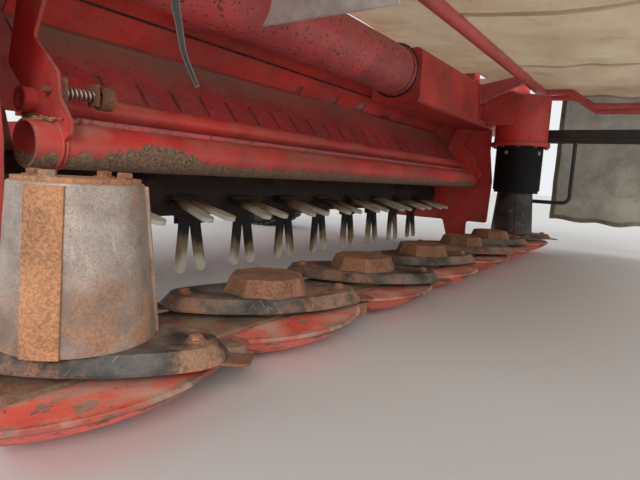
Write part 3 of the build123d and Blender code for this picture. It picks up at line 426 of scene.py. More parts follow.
# Milky nylon tines, black with grease and crop juice near the rotor; the tines that hang carry painted
# shade further down
tineLook = shades(
    tip=(210, 208, 192), middle=(142, 122, 90), root=(32, 27, 25), fleck=(92, 84, 62),
    near=0.10, far=0.20, hanging=0.05,
)


def tineMaterial(name, base, **changes):
    look = vary(base, **changes)
    material, tree, shader, place = startMaterial(name)
    axis = boxMiddle("rotor_tube")
    x, y, z = splitPlace(tree, place)
    reach = distance(tree, minus(tree, y, axis.y), minus(tree, z, axis.z))
    # the dirt reaches not as far on every tine; the tines that hang are darkened further down, which is
    # painted shade under the rotor
    hang = calc(tree, "DIVIDE", minus(tree, axis.z, z), reach, clamp=True)
    stain = cloud(tree, place, 9.0, 3.0, 0.6, (1.0, 0.25, 0.25))
    reach = timesAdd(tree, minus(tree, stain, 0.5), -0.24, reach)
    reach = timesAdd(tree, hang, -look["hanging"], reach)
    middle = (look["near"] + look["far"]) / 2
    first = remap(tree, reach, look["near"], middle)
    second = remap(tree, reach, middle, look["far"])
    colour = blend(tree, second, blend(tree, first, look["root"], look["middle"]), look["tip"])
    fleck = patchMask(tree, place, 110.0, 0.22, 0.02)
    colour = blend(tree, times(tree, fleck, 0.5), colour, look["fleck"])
    rough = lerp(tree, second, 0.75, 0.42)
    height = grainHeight(tree, place, 180.0)
    connect(tree, shader, {"Subsurface Weight": 0.12, "Subsurface Radius": (0.012, 0.011, 0.008)})
    finishMaterial(tree, shader, colour, rough, height, 0.25, 0.001)
    return material


# Black plastic, rubber and black paint
darkLook = shades(plain=(34, 35, 38), worn=(74, 72, 70), dust=(132, 120, 104),
                  dustAmount=0.35, gloss=0.45, grain=220.0, shine=0.5)


def darkMaterial(name, base, **changes):
    look = vary(base, **changes)
    material, tree, shader, place = startMaterial(name)
    worn = patchMask(tree, place, 8.0, 0.35, 0.12)
    edge = edgeMask(tree, place, 0.004, 0.45, 50.0)
    colour = blend(tree, larger(tree, times(tree, worn, 0.4), edge), look["plain"], look["worn"])
    film = dustMask(tree, place, look["dustAmount"], 10.0)
    colour = blend(tree, film, colour, look["dust"])
    rough = lerp(tree, larger(tree, film, edge), look["gloss"], 0.85)
    height = grainHeight(tree, place, look["grain"])
    connect(tree, shader, {"Specular IOR Level": look["shine"]})
    finishMaterial(tree, shader, colour, rough, height, 0.3, 0.001)
    return material


# Beige canvas, stained by weather, dust and grass
canvasLook = shades(
    light=(216, 200, 174), dark=(196, 178, 152), stain=(156, 134, 106),
    green=(112, 112, 84), stainCover=0.34, greenBelow=-1.0, through=0.8, crease=0.0,
)


def canvasMaterial(name, base, **changes):
    look = vary(base, **changes)
    material, tree, shader, place = startMaterial(name, roughness=0.92)
    cloth = result(tree, "ShaderNodeUVMap", uv_map="cloth")
    tone = remap(tree, cloud(tree, place, 3.0, 6.0, 0.6), 0.35, 0.65)
    colour = blend(tree, tone, look["dark"], look["light"])
    stain = patchMask(tree, place, 5.0, look["stainCover"], 0.13)
    colour = blend(tree, times(tree, stain, 0.55), colour, look["stain"])
    drops = patchMask(tree, place, 38.0, 0.16, 0.03)
    colour = blend(tree, times(tree, drops, 0.5), colour, look["stain"])
    z = splitPlace(tree, place)[2]
    rise = timesAdd(tree, cloud(tree, place, 4.0, 6.0), 0.5, z)
    algae = remap(tree, rise, look["greenBelow"] + 0.1, look["greenBelow"] + 0.45, 0.75, 0.0)
    colour = blend(tree, algae, colour, look["green"])
    # painted shade: thin dark lines in the stain colour, where a noise field crosses its middle, stand for
    # the shade in the cloth's creases
    creaseShadeLine = calc(tree, "ABSOLUTE", minus(tree, cloud(tree, place, 4.2, 5.0, 0.55), 0.5))
    colour = blend(tree, remap(tree, creaseShadeLine, 0.0, 0.011, look["crease"], 0.0), colour, look["stain"])
    threads = useGroup(tree, weave, place=cloth)
    colour = blend(tree, remap(tree, threads["shade"], 0.2, 0.8, 0.0, 0.22), colour, look["dark"])
    rough = remap(tree, stain, 0.0, 1.0, 0.9, 0.97)
    # daylight comes through the cloth
    connect(tree, shader, {"Subsurface Weight": look["through"], "Subsurface Radius": (1.0, 1.0, 1.0),
                           "Subsurface Scale": 0.012})
    finishMaterial(tree, shader, colour, rough, threads["height"], 0.5, 0.0006)
    return material


roofWeb = {"x": -0.674, "half": (0.0054, 0.0060), "top": (0.893, 0.897)}


def webZinc(tree, place):
    # the wide roof web is bare zinc-coated plate
    x, y, z = splitPlace(tree, place)
    near = remap(tree, calc(tree, "ABSOLUTE", minus(tree, x, roofWeb["x"])), *roofWeb["half"], 1.0, 0.0)
    return times(tree, near, remap(tree, z, *roofWeb["top"], 1.0, 0.0))


dullRed = vary(redLook, bright=(224, 94, 96), dull=(190, 84, 88), shade=(142, 70, 73),
               film=0.40, fleck=0.38)
rustSteel = vary(steelLook, rust=0.62, scratch=0.15, metal=0.25)
brownSteel = vary(steelLook, rustDark=(84, 64, 54), rustLight=(150, 108, 82))

finishes = {
    "frame": paintMaterial("redPaint", redLook),
    "comb": paintMaterial("combPaint", dullRed, None, combDust, bright=(204, 70, 74),
        dull=(160, 58, 62), dust=(150, 130, 110), dustAmount=0.2),
    # painted shade: the drive cover's red is a darkened copy of the faded red, for the shade it lies in
    "cover": paintMaterial("coverPaintPaintedShade", dullRed, bright=(112, 58, 60), dull=(82, 50, 54),
        shade=(70, 46, 50)),
    "beam": paintMaterial("beamPaint", dullRed),
    "canopy": paintMaterial("canopyPaint", dullRed, webZinc, rust=(222, 220, 214),
        steel=(188, 186, 182), fleck=0.10, speckle=14.0),
    "tube": paintMaterial("tubePaint", redLook, undersideWorn, rust=(156, 126, 102),
        steel=(96, 78, 66), speckle=190.0),
    "shoe": paintMaterial("shoePaint", redLook, shoeWorn, bright=(238, 98, 80),
        dull=(212, 84, 72), dust=(216, 178, 156), edgeRadius=0.02, edge=0.7, dustAmount=0.85),
    "rim": paintMaterial("rimPaint", redLook, bright=(214, 206, 190), dull=(186, 176, 158),
        shade=(120, 106, 90)),
    "bar": steelMaterial("barSteel", rustSteel, dustAmount=0.9),
    "disc": steelMaterial("discSteel", brownSteel, hatRust, dark=(44, 46, 49),
        light=(108, 108, 106), rustDark=(98, 68, 52), rustLight=(176, 122, 86), rust=0.46,
        dust=(150, 134, 116), dustAmount=0.5),
    # partly painted light: the near drum's steel and rust colours are raised to stand for the daylight on
    # it
    "drum": steelMaterial("drumSteelWithPaintedLight", steelLook, drumRust, dark=(124, 114, 108),
        light=(178, 166, 156), rustDark=(138, 98, 74), rustLight=(204, 146, 104), rust=0.3,
        pits=0.6),
    # painted shade: the inner drum is a darkened copy of the same drum steel, for the shade it lies in
    "innerDrum": steelMaterial("innerDrumSteelPaintedShade", brownSteel, dark=(34, 34, 36),
        light=(74, 72, 72), rustLight=(96, 66, 52), rust=0.24),
    "blade": steelMaterial("bladeSteel", rustSteel, dark=(60, 56, 54)),
    # painted shade: the rotor tube's steel is darkened to near black for the shade it lies in
    "rotor": steelMaterial("rotorSteelPaintedShade", brownSteel, dark=(26, 24, 24), light=(50, 44, 42),
        rustLight=(54, 40, 34), rustDark=(32, 26, 24), rust=0.62, dustAmount=0.12),
    "bright": steelMaterial("brightSteel", steelLook, dark=(140, 138, 134), light=(206, 204, 200),
        rust=0.12, dustAmount=0.15, metal=0.9),
    "bolt": steelMaterial("boltSteel", rustSteel, light=(160, 148, 134), rustLight=(196, 134, 90)),
    "straw": steelMaterial("straw", steelLook, dark=(150, 132, 98), light=(206, 188, 146),
        rust=0.05, scratch=0.0, metal=0.0),
    "tine": tineMaterial("tineNylon", tineLook),
    "blackPaint": darkMaterial("blackPaint", darkLook),
    "strap": darkMaterial("wornStrap", darkLook, plain=(62, 60, 58), worn=(176, 172, 166)),
    "plastic": darkMaterial("blackPlastic", darkLook, plain=(28, 29, 31), gloss=0.34),
    "guard": darkMaterial("guardPlastic", darkLook, plain=(13, 15, 19), worn=(38, 38, 40),
        gloss=0.6, dustAmount=0.05, shine=0.2),
    "rubber": darkMaterial("tyreRubber", darkLook, plain=(42, 41, 40), gloss=0.7, dustAmount=0.7),
    "canvas": canvasMaterial("roofCanvas", canvasLook),
    "curtain": canvasMaterial("curtainCanvas", canvasLook, light=(164, 160, 146),
        dark=(120, 117, 103), stain=(92, 82, 66), green=(112, 102, 76), greenBelow=0.14,
        crease=0.4),
}
print("stage: finishes made,", len(finishes))

# the nodes of each finish; those that aren't here are discs, blades or red frame pieces
finishNodes = {
    "bar": "cutter_bar", "shoe": "skid_shoes", "tube": "front_tube", "beam": "main_beam",
    "comb": "comb_plate", "rotor": "rotor_tube", "tine": "tines", "guard": "drum_guard",
    "cover": "drive_cover", "blade": "comb_latch", "plastic": "driveline_guard",
    "bright": "input_shaft jack_leg lift_rods swing_rod", "canopy": "canopy_frame",
    "blackPaint": "inner_guard front_guard_frame lift_barrels swing_barrel",
    "rubber": "tyre_left tyre_right", "rim": "rim_left rim_right", "drum": "drum_1",
    "innerDrum": "drum_7", "canvas": "roof_canvas outer_roll front_guard_canvas",
    "curtain": "inner_curtain",
}
nodeFinish = {name: finish for finish, names in finishNodes.items() for name in names.split()}
for name, node in nodes.items():
    kind = "disc" if name.startswith("disc_") else "blade" if name.startswith("blades_") else "frame"
    finish = finishes[nodeFinish.get(name, kind)]
    if not node.material_slots:
        node.data.materials.append(finish)
    for slot in node.material_slots:
        slot.material = finish
print("stage: nodes painted")


# Camera, floor and light

cameraSpec = {"place": (-1.694, -0.703, 0.366), "heading": 0.5964, "down": 0.1252, "roll": 0.0549,
              "lens": 28.125, "sensor": 36.0, "clip": (0.02, 80.0)}


def placeCamera(spec):
    heading, down, roll = spec["heading"], spec["down"], spec["roll"]
    ahead = Vector((math.cos(heading), math.sin(heading), 0))
    right = Vector((math.sin(heading), -math.cos(heading), 0))
    upright = Vector((0, 0, 1))
    forward = math.cos(down) * ahead - math.sin(down) * upright
    lifted = math.sin(down) * ahead + math.cos(down) * upright
    across = math.cos(roll) * right + math.sin(roll) * lifted
    up = math.cos(roll) * lifted - math.sin(roll) * right
    turn = Matrix((across, up, -forward)).transposed().to_4x4()
    data = bpy.data.cameras.new("camera")
    data.lens, data.sensor_width, data.sensor_fit = spec["lens"], spec["sensor"], "HORIZONTAL"
    data.clip_start, data.clip_end = spec["clip"]
    camera = addObject("camera", data)
    camera.matrix_world = Matrix.Translation(spec["place"]) @ turn
    bpy.context.scene.camera = camera


lightSpec = {
    "sky": 0.85, "backdrop": 0.90, "tone": (0.96, 0.97, 1, 1),
    "sun": 1.5, "sunAngle": 24.0, "sunFrom": (-0.80, -0.62, 0.52),
    "fill": 0.4, "fillAngle": 40.0, "fillFrom": (0.45, -0.85, 0.30),
}


def makeWorld(spec):
    world = bpy.data.worlds.new("studio")
    world.use_nodes = True
    bpy.context.scene.world = world
    tree = world.node_tree
    tree.nodes.clear()
    rays = addNode(tree, "ShaderNodeLightPath").outputs
    seen = larger(tree, rays["Is Camera Ray"], rays["Is Glossy Ray"])
    seen = larger(tree, seen, rays["Is Transmission Ray"])
    sky = addNode(tree, "ShaderNodeBackground", {"Color": (1, 1, 1, 1), "Strength": spec["sky"]})
    wall = addNode(tree, "ShaderNodeBackground", {"Color": spec["tone"], "Strength": spec["backdrop"]})
    mixed = addNode(tree, "ShaderNodeMixShader", {0: seen, 1: sky.outputs[0], 2: wall.outputs[0]})
    out = addNode(tree, "ShaderNodeOutputWorld")
    tree.links.new(mixed.outputs[0], out.inputs["Surface"])


def addSun(name, strength, fromWhere, angle):
    data = bpy.data.lights.new(name, "SUN")
    data.energy, data.angle = strength, math.radians(angle)
    sun = addObject(name, data)
    sun.rotation_euler = Vector(fromWhere).to_track_quat("Z", "Y").to_euler()


floorSpec = {"reach": 30.0, "seen": tint(206, 206, 204), "bounce": tint(230, 228, 224)}


def makeFloor(spec):
    reach = spec["reach"]
    corners = [(-reach, -reach, 0), (reach, -reach, 0), (reach, reach, 0), (-reach, reach, 0)]
    mesh = newMesh("floor", corners, [(0, 1, 2, 3)])
    floor = addObject("floor", mesh)
    material, tree, shader, place = startMaterial("paleFloor", roughness=0.9)
    seen = addNode(tree, "ShaderNodeLightPath").outputs["Is Camera Ray"]
    colour = blend(tree, seen, spec["bounce"], spec["seen"])
    tree.links.new(colour, shader.inputs["Base Color"])
    mesh.materials.append(material)


placeCamera(cameraSpec)
makeWorld(lightSpec)
addSun("key", lightSpec["sun"], lightSpec["sunFrom"], lightSpec["sunAngle"])
addSun("fill", lightSpec["fill"], lightSpec["fillFrom"], lightSpec["fillAngle"])
makeFloor(floorSpec)
bpy.context.scene.view_settings.view_transform = "Standard"
print("stage: camera, floor and light")


# Bare mesh helpers

def addPiece(name, mesh, finish, body, slot=None, smooth=False):
    piece = addObject(name, mesh)
    if finish:
        mesh.materials.clear()
        mesh.materials.append(finishes[finish])
    mesh.polygons.foreach_set("use_smooth", [smooth] * len(mesh.polygons))
    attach(piece, body)
    return piece


def clothMesh(name, columns, rows, place, size, keep=None):
    # a grid whose UV map is in metres of flat cloth
    verts = [place(i / columns, j / rows) for j in range(rows + 1) for i in range(columns + 1)]
    faces = []
    for j in range(rows):
        for i in range(columns):
            if keep and not keep((i + 0.5) / columns, (j + 0.5) / rows):
                continue
            a = j * (columns + 1) + i
            faces.append((a, a + 1, a + columns + 2, a + columns + 1))
    mesh = newMesh(name, verts, faces)
    layer = mesh.uv_layers.new(name="cloth")
    for loop in mesh.loops:
        j, i = divmod(loop.vertex_index, columns + 1)
        layer.data[loop.index].uv = (i / columns * size[0], j / rows * size[1])
    return mesh


def addCloth(name, mesh, finish, body, node, thickness=0.0022):
    piece = addPiece(name, mesh, finish, body, "canvas", smooth=True)
    wall = piece.modifiers.new("thickness", "SOLIDIFY")
    wall.thickness, wall.offset = thickness, 0.0
    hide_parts(node)
    return piece


def wave(x, y, z, size, seed):
    return noise.noise(Vector((x, y, z)) / size + Vector((seed, seed * 1.7, -seed)))


# Pieces swept along a line

def sweepInto(verts, faces, points, outline, upright, closed=False, taper=None):
    # the outline's first axis lies across the line and its second one along upright
    first, count, last = len(verts), len(outline), len(points)
    for k, point in enumerate(points):
        ahead = points[(k + 1) % last if closed else min(k + 1, last - 1)]
        behind = points[k - 1 if closed or k else 0]
        along = (Vector(ahead) - Vector(behind)).normalized()
        across = along.cross(upright(k) if callable(upright) else Vector(upright)).normalized()
        over = across.cross(along)
        wide = taper(k / (last - 1)) if taper else 1.0
        verts += [Vector(point) + a * wide * across + b * over for a, b in outline]
    for k in range(last if closed else last - 1):
        a, b = first + k * count, first + (k + 1) % last * count
        faces += [(a + i, a + (i + 1) % count, b + (i + 1) % count, b + i) for i in range(count)]
    if not closed:
        faces.append(tuple(range(first, first + count)))
        faces.append(tuple(reversed(range(first + (last - 1) * count, first + last * count))))


def angles(steps):
    return [math.tau * k / steps for k in range(steps)]


def spread(first, last, steps):
    return [first + (last - first) * k / steps for k in range(steps + 1)]


def roundOutline(radius, sides=8):
    return [(radius * math.cos(a), radius * math.sin(a)) for a in angles(sides)]


def flatOutline(width, height):
    return [(a * width / 2, b * height / 2) for a, b in ((-1, -1), (1, -1), (1, 1), (-1, 1))]


def addSwept(name, lines, finish, body, slot, smooth=True):
    verts, faces = [], []
    for line in lines:
        sweepInto(verts, faces, *line)
    mesh = newMesh(name, verts, faces)
    mesh.validate()
    layer = mesh.uv_layers.new(name="cloth")
    for loop in mesh.loops:
        place = mesh.vertices[loop.vertex_index].co
        layer.data[loop.index].uv = (place.x + place.y, place.z + place.y)
    return addPiece(name, mesh, finish, body, slot, smooth)


def smoothLine(points, steps=8):
    # a curve through the points
    line = [Vector(p) for p in points]
    out = []
    for k in range(len(line) - 1):
        a, b, c, d = line[max(k - 1, 0)], line[k], line[k + 1], line[min(k + 2, len(line) - 1)]
        for step in range(steps):
            t = step / steps
            out.append(0.5 * (2 * b + (c - a) * t + (2 * a - 5 * b + 4 * c - d) * t ** 2
                              + (3 * b - a - 3 * c + d) * t ** 3))
    return out + [line[-1]]


def hemLines(side, first, last, seams=()):
    # along the last edge, up both sides and up the seams, in shares of the cloth
    return [((side, last), (1 - side, last))] + [((u, first), (u, last)) for u in (side, 1 - side, *seams)]


def addHems(name, place, lines, facing, width, finish, body, thickness=0.0056, steps=80):
    # a doubled strip sewn along each line of the cloth
    swept = []
    for (u0, v0), (u1, v1) in lines:
        points = [place(u, v) for u, v in zip(spread(u0, u1, steps), spread(v0, v1, steps))]
        swept.append((points, flatOutline(width, thickness), facing))
    return addSwept(name, swept, finish, body, "canvas", smooth=False)


# Roof canvas: spans from the cross tube to the front rail and sags between them

roofSpec = {
    "hem": 0.032, "seams": (0.27, 0.515, 0.76), "sag": 0.024, "ripple": 0.011, "lift": 0.003,
    "flutter": 0.006, "thick": 0.010, "columns": 150, "rows": 54, "crossTube": 0.295, "rail": 0.98,
    "post": (1.1, 0.25), "postRoom": (0.08, 0.07), "pivotRoom": 0.03,
}


def makeRoof(spec):
    low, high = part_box("roof_canvas")
    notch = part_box("pivot_lower")
    thick = spec["thick"]
    drop = high.z - low.z - thick
    length = high.x - low.x
    depth = high.y - low.y
    first = spec["crossTube"]

    def place(u, v):
        x, y = low.x + u * length, high.y - v * depth
        base = high.z - thick - v * drop + spec["lift"]
        span = min(max((v - first) / (spec["rail"] - first), 0), 1)
        sag = spec["sag"] * math.sin(math.pi * span) * (0.75 + 0.25 * math.sin(x * 5.1 + 0.6))
        ripple = spec["ripple"] * wave(x, y * 1.6, 0, 0.22, 3.0) * (0.25 + math.sin(math.pi * span))
        free = spec["flutter"] * wave(x, 0, 0, 0.30, 8.0) * max(0.0, first - v) / first
        return Vector((x, y, base - sag + ripple + free))

    def keep(u, v):
        x, y = low.x + u * length, high.y - v * depth
        room, half, post = spec["pivotRoom"], spec["postRoom"], spec["post"]
        byPivot = notch[0].x - room < x < notch[1].x + room and y > notch[0].y - room
        return not (byPivot or (abs(x - post[0]) < half[0] and y > post[1] - half[1]))

    mesh = clothMesh("roofCloth", spec["columns"], spec["rows"], place, (length, depth), keep)
    piece = addCloth("roofCloth", mesh, "canvas", "frame", "roof_canvas")
    margin = spec["hem"] / 2
    side, front = margin / length, 1 - margin / depth
    lines = hemLines(side, first, front, spec["seams"])
    hems = addHems("roofHems", place, lines, (0, 0, 1), spec["hem"], "canvas", "frame")


curtainSpec = {"hemWidth": 0.026, "hemTop": 0.02, "fold": 0.020, "crumple": 0.030, "uneven": 0.03,
               "columns": 120, "rows": 110}


def makeInnerCurtain(spec):
    low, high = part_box("inner_curtain")
    depth, tall = high.y - low.y, high.z - low.z

    def place(u, v):
        y, z = high.y - u * depth, high.z - v * tall
        grow = 0.15 + 0.85 * min(1.0, 1.6 * v)
        fold = spec["fold"] * math.sin(u * 14 - 2.4 * v + 1.8 * wave(y, z, 0, 0.45, 5.0))
        # a stiff sheet crumples to flat faces that meet in sharp creases
        broad, fine = wave(y * 1.2, z, 0, 0.24, 9.0), wave(y, z, 0, 0.11, 14.0)
        crumple = spec["crumple"] * (0.45 - abs(broad) - 0.5 * abs(fine))
        hem = spec["uneven"] * wave(y, 0, 0, 0.16, 3.3) * v
        return Vector(((low.x + high.x) / 2 + grow * (fold + crumple), y, z + hem))

    mesh = clothMesh("innerCurtainCloth", spec["columns"], spec["rows"], place, (depth, tall))
    piece = addCloth("innerCurtainCloth", mesh, "curtain", "frame", "inner_curtain")
    margin = spec["hemWidth"] / 2
    side, foot = margin / depth, 1 - margin / tall
    lines = hemLines(side, spec["hemTop"], foot)
    hems = addHems("innerCurtainHems", place, lines, (1, 0, 0), spec["hemWidth"], "curtain", "frame")


rollSpec = {"pitch": 0.0062, "inner": 0.010, "inset": 0.001, "uneven": 0.0012, "slump": 0.03,
            "rows": 26, "steps": 24}


def makeOuterRoll(spec):
    low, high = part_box("outer_roll")
    axis = (low + high) / 2
    outer = (high.z - low.z) / 2 - spec["inset"]
    turns = (outer - spec["inner"]) / spec["pitch"]
    columns = int(turns * spec["steps"])
    wound = math.pi * turns * (outer + spec["inner"])

    def place(u, v):
        angle = 2 * math.pi * turns * u
        y = low.y + v * (high.y - low.y)
        uneven = spec["uneven"] * wave(u * 9, y * 6, angle, 0.8, 2.0)
        radius = spec["inner"] + (outer - spec["inner"]) * u + uneven
        slump = spec["slump"] * radius * math.sin(y * 9)
        return Vector((axis.x + radius * math.cos(angle), y, axis.z + radius * math.sin(angle) - slump))

    mesh = clothMesh("outerRollCloth", columns, spec["rows"], place, (wound, high.y - low.y))
    piece = addCloth("outerRollCloth", mesh, "canvas", "frame", "outer_roll")


guardClothSpec = {"hem": 0.03, "seams": (1 / 3, 2 / 3), "lift": 0.002, "sag": 0.012, "ripple": 0.006,
                  "columns": 130, "rows": 30}


def makeFrontGuardCloth(spec):
    low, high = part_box("front_guard_canvas")
    length, depth = high.x - low.x, high.y - low.y

    def place(u, v):
        x, y = low.x + u * length, high.y - v * depth
        belly = math.sin(math.pi * v) * abs(math.sin(math.pi * u * 3))
        ripple = spec["ripple"] * wave(x, y, 0, 0.25, 12.0) * math.sin(math.pi * v)
        return Vector((x, y, low.z + spec["lift"] - spec["sag"] * belly + ripple))

    mesh = clothMesh("frontGuardCloth", spec["columns"], spec["rows"], place, (length, depth))
    piece = addCloth("frontGuardCloth", mesh, "canvas", "front_guard", "front_guard_canvas")
    side, edge = spec["hem"] / 2 / length, spec["hem"] / 2 / depth
    lines = [((side, edge), (1 - side, edge))] + hemLines(side, edge, 1 - edge, spec["seams"])
    hems = addHems("frontGuardHems", place, lines, (0, 0, 1), spec["hem"], "canvas", "front_guard")


makeRoof(roofSpec)
makeInnerCurtain(curtainSpec)
makeOuterRoll(rollSpec)
makeFrontGuardCloth(guardClothSpec)
print("stage: canvas made")


# Things that repeat grow on points that carry an outward direction and a size

def growMesh(name, group, rows, values):
    points = newMesh(name + "Points", [row[0] for row in rows])
    points.attributes.new("out", "FLOAT_VECTOR", "POINT").data.foreach_set(
        "vector", [part for row in rows for part in row[1]])
    points.attributes.new("size", "FLOAT", "POINT").data.foreach_set("value", [row[2] for row in rows])
    holder = addObject(name + "Holder", points)
    grower = holder.modifiers.new("grow", "NODES")
    grower.node_group = group
    for item in group.interface.items_tree:
        if item.name in values:
            grower[item.identifier] = values[item.name]
    bpy.context.view_layer.update()
    graph = bpy.context.evaluated_depsgraph_get()
    mesh = bpy.data.meshes.new_from_object(holder.evaluated_get(graph), depsgraph=graph)
    holder.modifiers.remove(grower)
    bpy.data.objects.remove(holder)
    bpy.data.meshes.remove(points)
    mesh.name = name
    return mesh


def pointValue(tree, name, kind):
    return result(tree, "GeometryNodeInputNamedAttribute", {"Name": name}, data_type=kind)


def standOut(tree):
    # the rotation that turns a piece's Z to the point's outward direction
    outward = pointValue(tree, "out", "FLOAT_VECTOR")
    return result(tree, "FunctionNodeAlignRotationToVector", {"Vector": outward}, axis="Z")


def finishGrowth(tree, given, out, piece, rotation):
    wanted = {"Points": given["Geometry"], "Instance": piece, "Rotation": rotation,
              "Scale": pointValue(tree, "size", "FLOAT")}
    placed = result(tree, "GeometryNodeInstanceOnPoints", wanted)
    real = result(tree, "GeometryNodeRealizeInstances", {"Geometry": placed})
    wanted = {"Geometry": real, "Material": given["Finish"]}
    tree.links.new(result(tree, "GeometryNodeSetMaterial", wanted), out["Geometry"])
    return tree


def lifted(tree, kind, inputs, height):
    shape = result(tree, kind, inputs)
    return result(tree, "GeometryNodeTransform", {"Geometry": shape, "Translation": (0, 0, height)})


def startGrowth(name, *more):
    inputs = [("Geometry", "Geometry", None), ("Finish", "Material", None), ("Seed", "Int", 3), *more]
    return startGroup(name, inputs, [("Geometry", "Geometry")], "GeometryNodeTree")


def makeBoltHeads():
    tree, given, out = startGrowth("boltHeads")
    washer = lifted(tree, "GeometryNodeMeshCylinder", {"Vertices": 20, "Radius": 1.38, "Depth": 0.2}, 0.06)
    head = lifted(tree, "GeometryNodeMeshCylinder", {"Vertices": 6, "Radius": 1.0, "Depth": 0.6}, 0.42)
    wanted = {"Vertices": 6, "Radius Bottom": 1.0, "Radius Top": 0.8, "Depth": 0.12}
    brow = lifted(tree, "GeometryNodeMeshCone", wanted, 0.72)
    whole = addNode(tree, "GeometryNodeJoinGeometry")
    for part in (washer, head, brow):
        tree.links.new(part, whole.inputs[0])
    wanted = {2: 0.0, 3: 6.283, "Seed": given["Seed"]}
    turn = addNode(tree, "FunctionNodeRandomValue", wanted, data_type="FLOAT").outputs[1]
    spin = result(tree, "FunctionNodeAxisAngleToRotation", {"Axis": (0, 0, 1), "Angle": turn})
    wanted = {"Rotation": standOut(tree), "Rotate By": spin}
    stood = result(tree, "FunctionNodeRotateRotation", wanted, rotation_space="LOCAL")
    return finishGrowth(tree, given, out, whole.outputs[0], stood)


def makeTreadBlocks():
    tree, given, out = startGrowth("treadBlocks", ("Block", "Vector", (0.03, 0.04, 0.014)))
    cube = result(tree, "GeometryNodeMeshCube", {"Size": given["Block"]})
    wanted = {"Rotation": standOut(tree), "Vector": (1, 0, 0)}
    along = result(tree, "FunctionNodeAlignRotationToVector", wanted, axis="Y", pivot_axis="Z")
    return finishGrowth(tree, given, out, cube, along)


def makeStraws():
    tree, given, out = startGrowth("straws")
    stalk = result(tree, "GeometryNodeMeshCylinder", {"Vertices": 4, "Radius": 0.035, "Depth": 1.0})
    wanted = {0: (1.1, -0.5, -3.1), 1: (2.0, 0.5, 3.1), "Seed": given["Seed"]}
    lean = result(tree, "FunctionNodeRandomValue", wanted, data_type="FLOAT_VECTOR")
    lean = result(tree, "FunctionNodeEulerToRotation", {"Euler": lean})
    return finishGrowth(tree, given, out, stalk, lean)


boltHeads, treadBlocks, straws = makeBoltHeads(), makeTreadBlocks(), makeStraws()

# body, finish, centre, outward, ring radius, count, first angle, head radius
boltRings = [
    ("disc_unit_1", "bolt", (-1.29, 0, 0.347), (0, 0, 1), 0.070, 4, 28.4, 0.0115),
    ("disc_unit_7", "bolt", (1.29, 0, 0.347), (0, 0, 1), 0.070, 4, 28.4, 0.0115),
    ("frame", "frame", (1.29, 0, 0.592), (0, 0, -1), 0.142, 10, 9.0, 0.010),
    ("frame", "frame", (1.308, 0.55, 0.30), (1, 0, 0), 0.060, 4, 45.0, 0.012),
    ("frame", "frame", (-1.308, 0.55, 0.30), (-1, 0, 0), 0.060, 4, 45.0, 0.012),
    ("frame", "frame", (1.56, 0.15, 0.927), (0, 0, 1), 0.118, 8, 22.5, 0.008),
    ("drawbar_body", "blackPaint", (1.56, 0.15, 1.295), (0, 0, 1), 0.060, 6, 0.0, 0.011),
    ("wheel_left", "bolt", (1.114, 1.7, 0.38), (-1, 0, 0), 0.095, 6, 0.0, 0.015),
    ("wheel_right", "bolt", (-1.114, 1.7, 0.38), (1, 0, 0), 0.095, 6, 0.0, 0.015),
]
# body, finish, place, outward, head radius
loneBolts = [
    ("frame", "bolt", (-1.2, 0.325, 0.452), (-1, 0, 0), 0.011),
    ("frame", "bright", (1.1733, 0.0419, 0.556), (-0.941, 0.338, 0), 0.008),
    ("frame", "bright", (1.2400, -0.1135, 0.556), (-0.403, -0.915, 0), 0.008),
    ("frame", "bolt", (1.30, 0.190, 0.185), (-1, 0, 0), 0.010),
]
# the two bolts that hold a disc; its neighbour's stand at the other angle
discSpec = {"pitch": 0.43, "boltRadius": 0.176, "top": 0.112, "head": 0.0105, "angles": (-56.0, -34.0)}
boltSlots = {"bolt": "worn_steel", "frame": "red_paint", "bright": "bright_steel",
             "blackPaint": "black_paint"}


def ringRows(centre, outward, radius, count, first, head):
    side = Vector((0, 1, 0)) if outward[0] else Vector((1, 0, 0))
    up = Vector((0, 0, 1)) if outward[0] else Vector((0, 1, 0))
    rows = []
    for k in range(count):
        angle = math.radians(first + 360 / count * k)
        place = Vector(centre) + radius * (math.cos(angle) * side + math.sin(angle) * up)
        rows.append((place, outward, head))
    return rows


def makeBolts():
    wanted = {}
    for body, finish, *ring in boltRings:
        wanted.setdefault((body, finish), []).extend(ringRows(*ring))
    for body, finish, place, outward, head in loneBolts:
        wanted.setdefault((body, finish), []).append((place, outward, head))
    for number in range(1, 8):
        centre = ((number - 4) * discSpec["pitch"], 0, discSpec["top"])
        first = discSpec["angles"][(number - 1) % 2]
        rows = ringRows(centre, (0, 0, 1), discSpec["boltRadius"], 2, first, discSpec["head"])
        wanted.setdefault((f"disc_unit_{number}", "bolt"), []).extend(rows)
    for index, ((body, finish), rows) in enumerate(wanted.items()):
        name = f"bolts_{body}_{finish}"
        mesh = growMesh(name, boltHeads, rows, {"Finish": finishes[finish], "Seed": index})
        addPiece(name, mesh, None, body, boltSlots[finish])


makeBolts()
print("stage: bolts made")


# Tyres: carcass turned from a section, with blocks of road tread

tyreSpec = {"section": ((0.198, 0.095), (0.238, 0.1188), (0.262, 0.127), (0.293, 0.132), (0.318, 0.129),
                        (0.340, 0.122), (0.356, 0.108), (0.364, 0.086), (0.367, 0.045)),
            "steps": 96, "rings": (-0.088, -0.031, 0.031, 0.088), "blocks": 44,
            "block": (0.036, 0.046, 0.014), "tread": 0.3722}


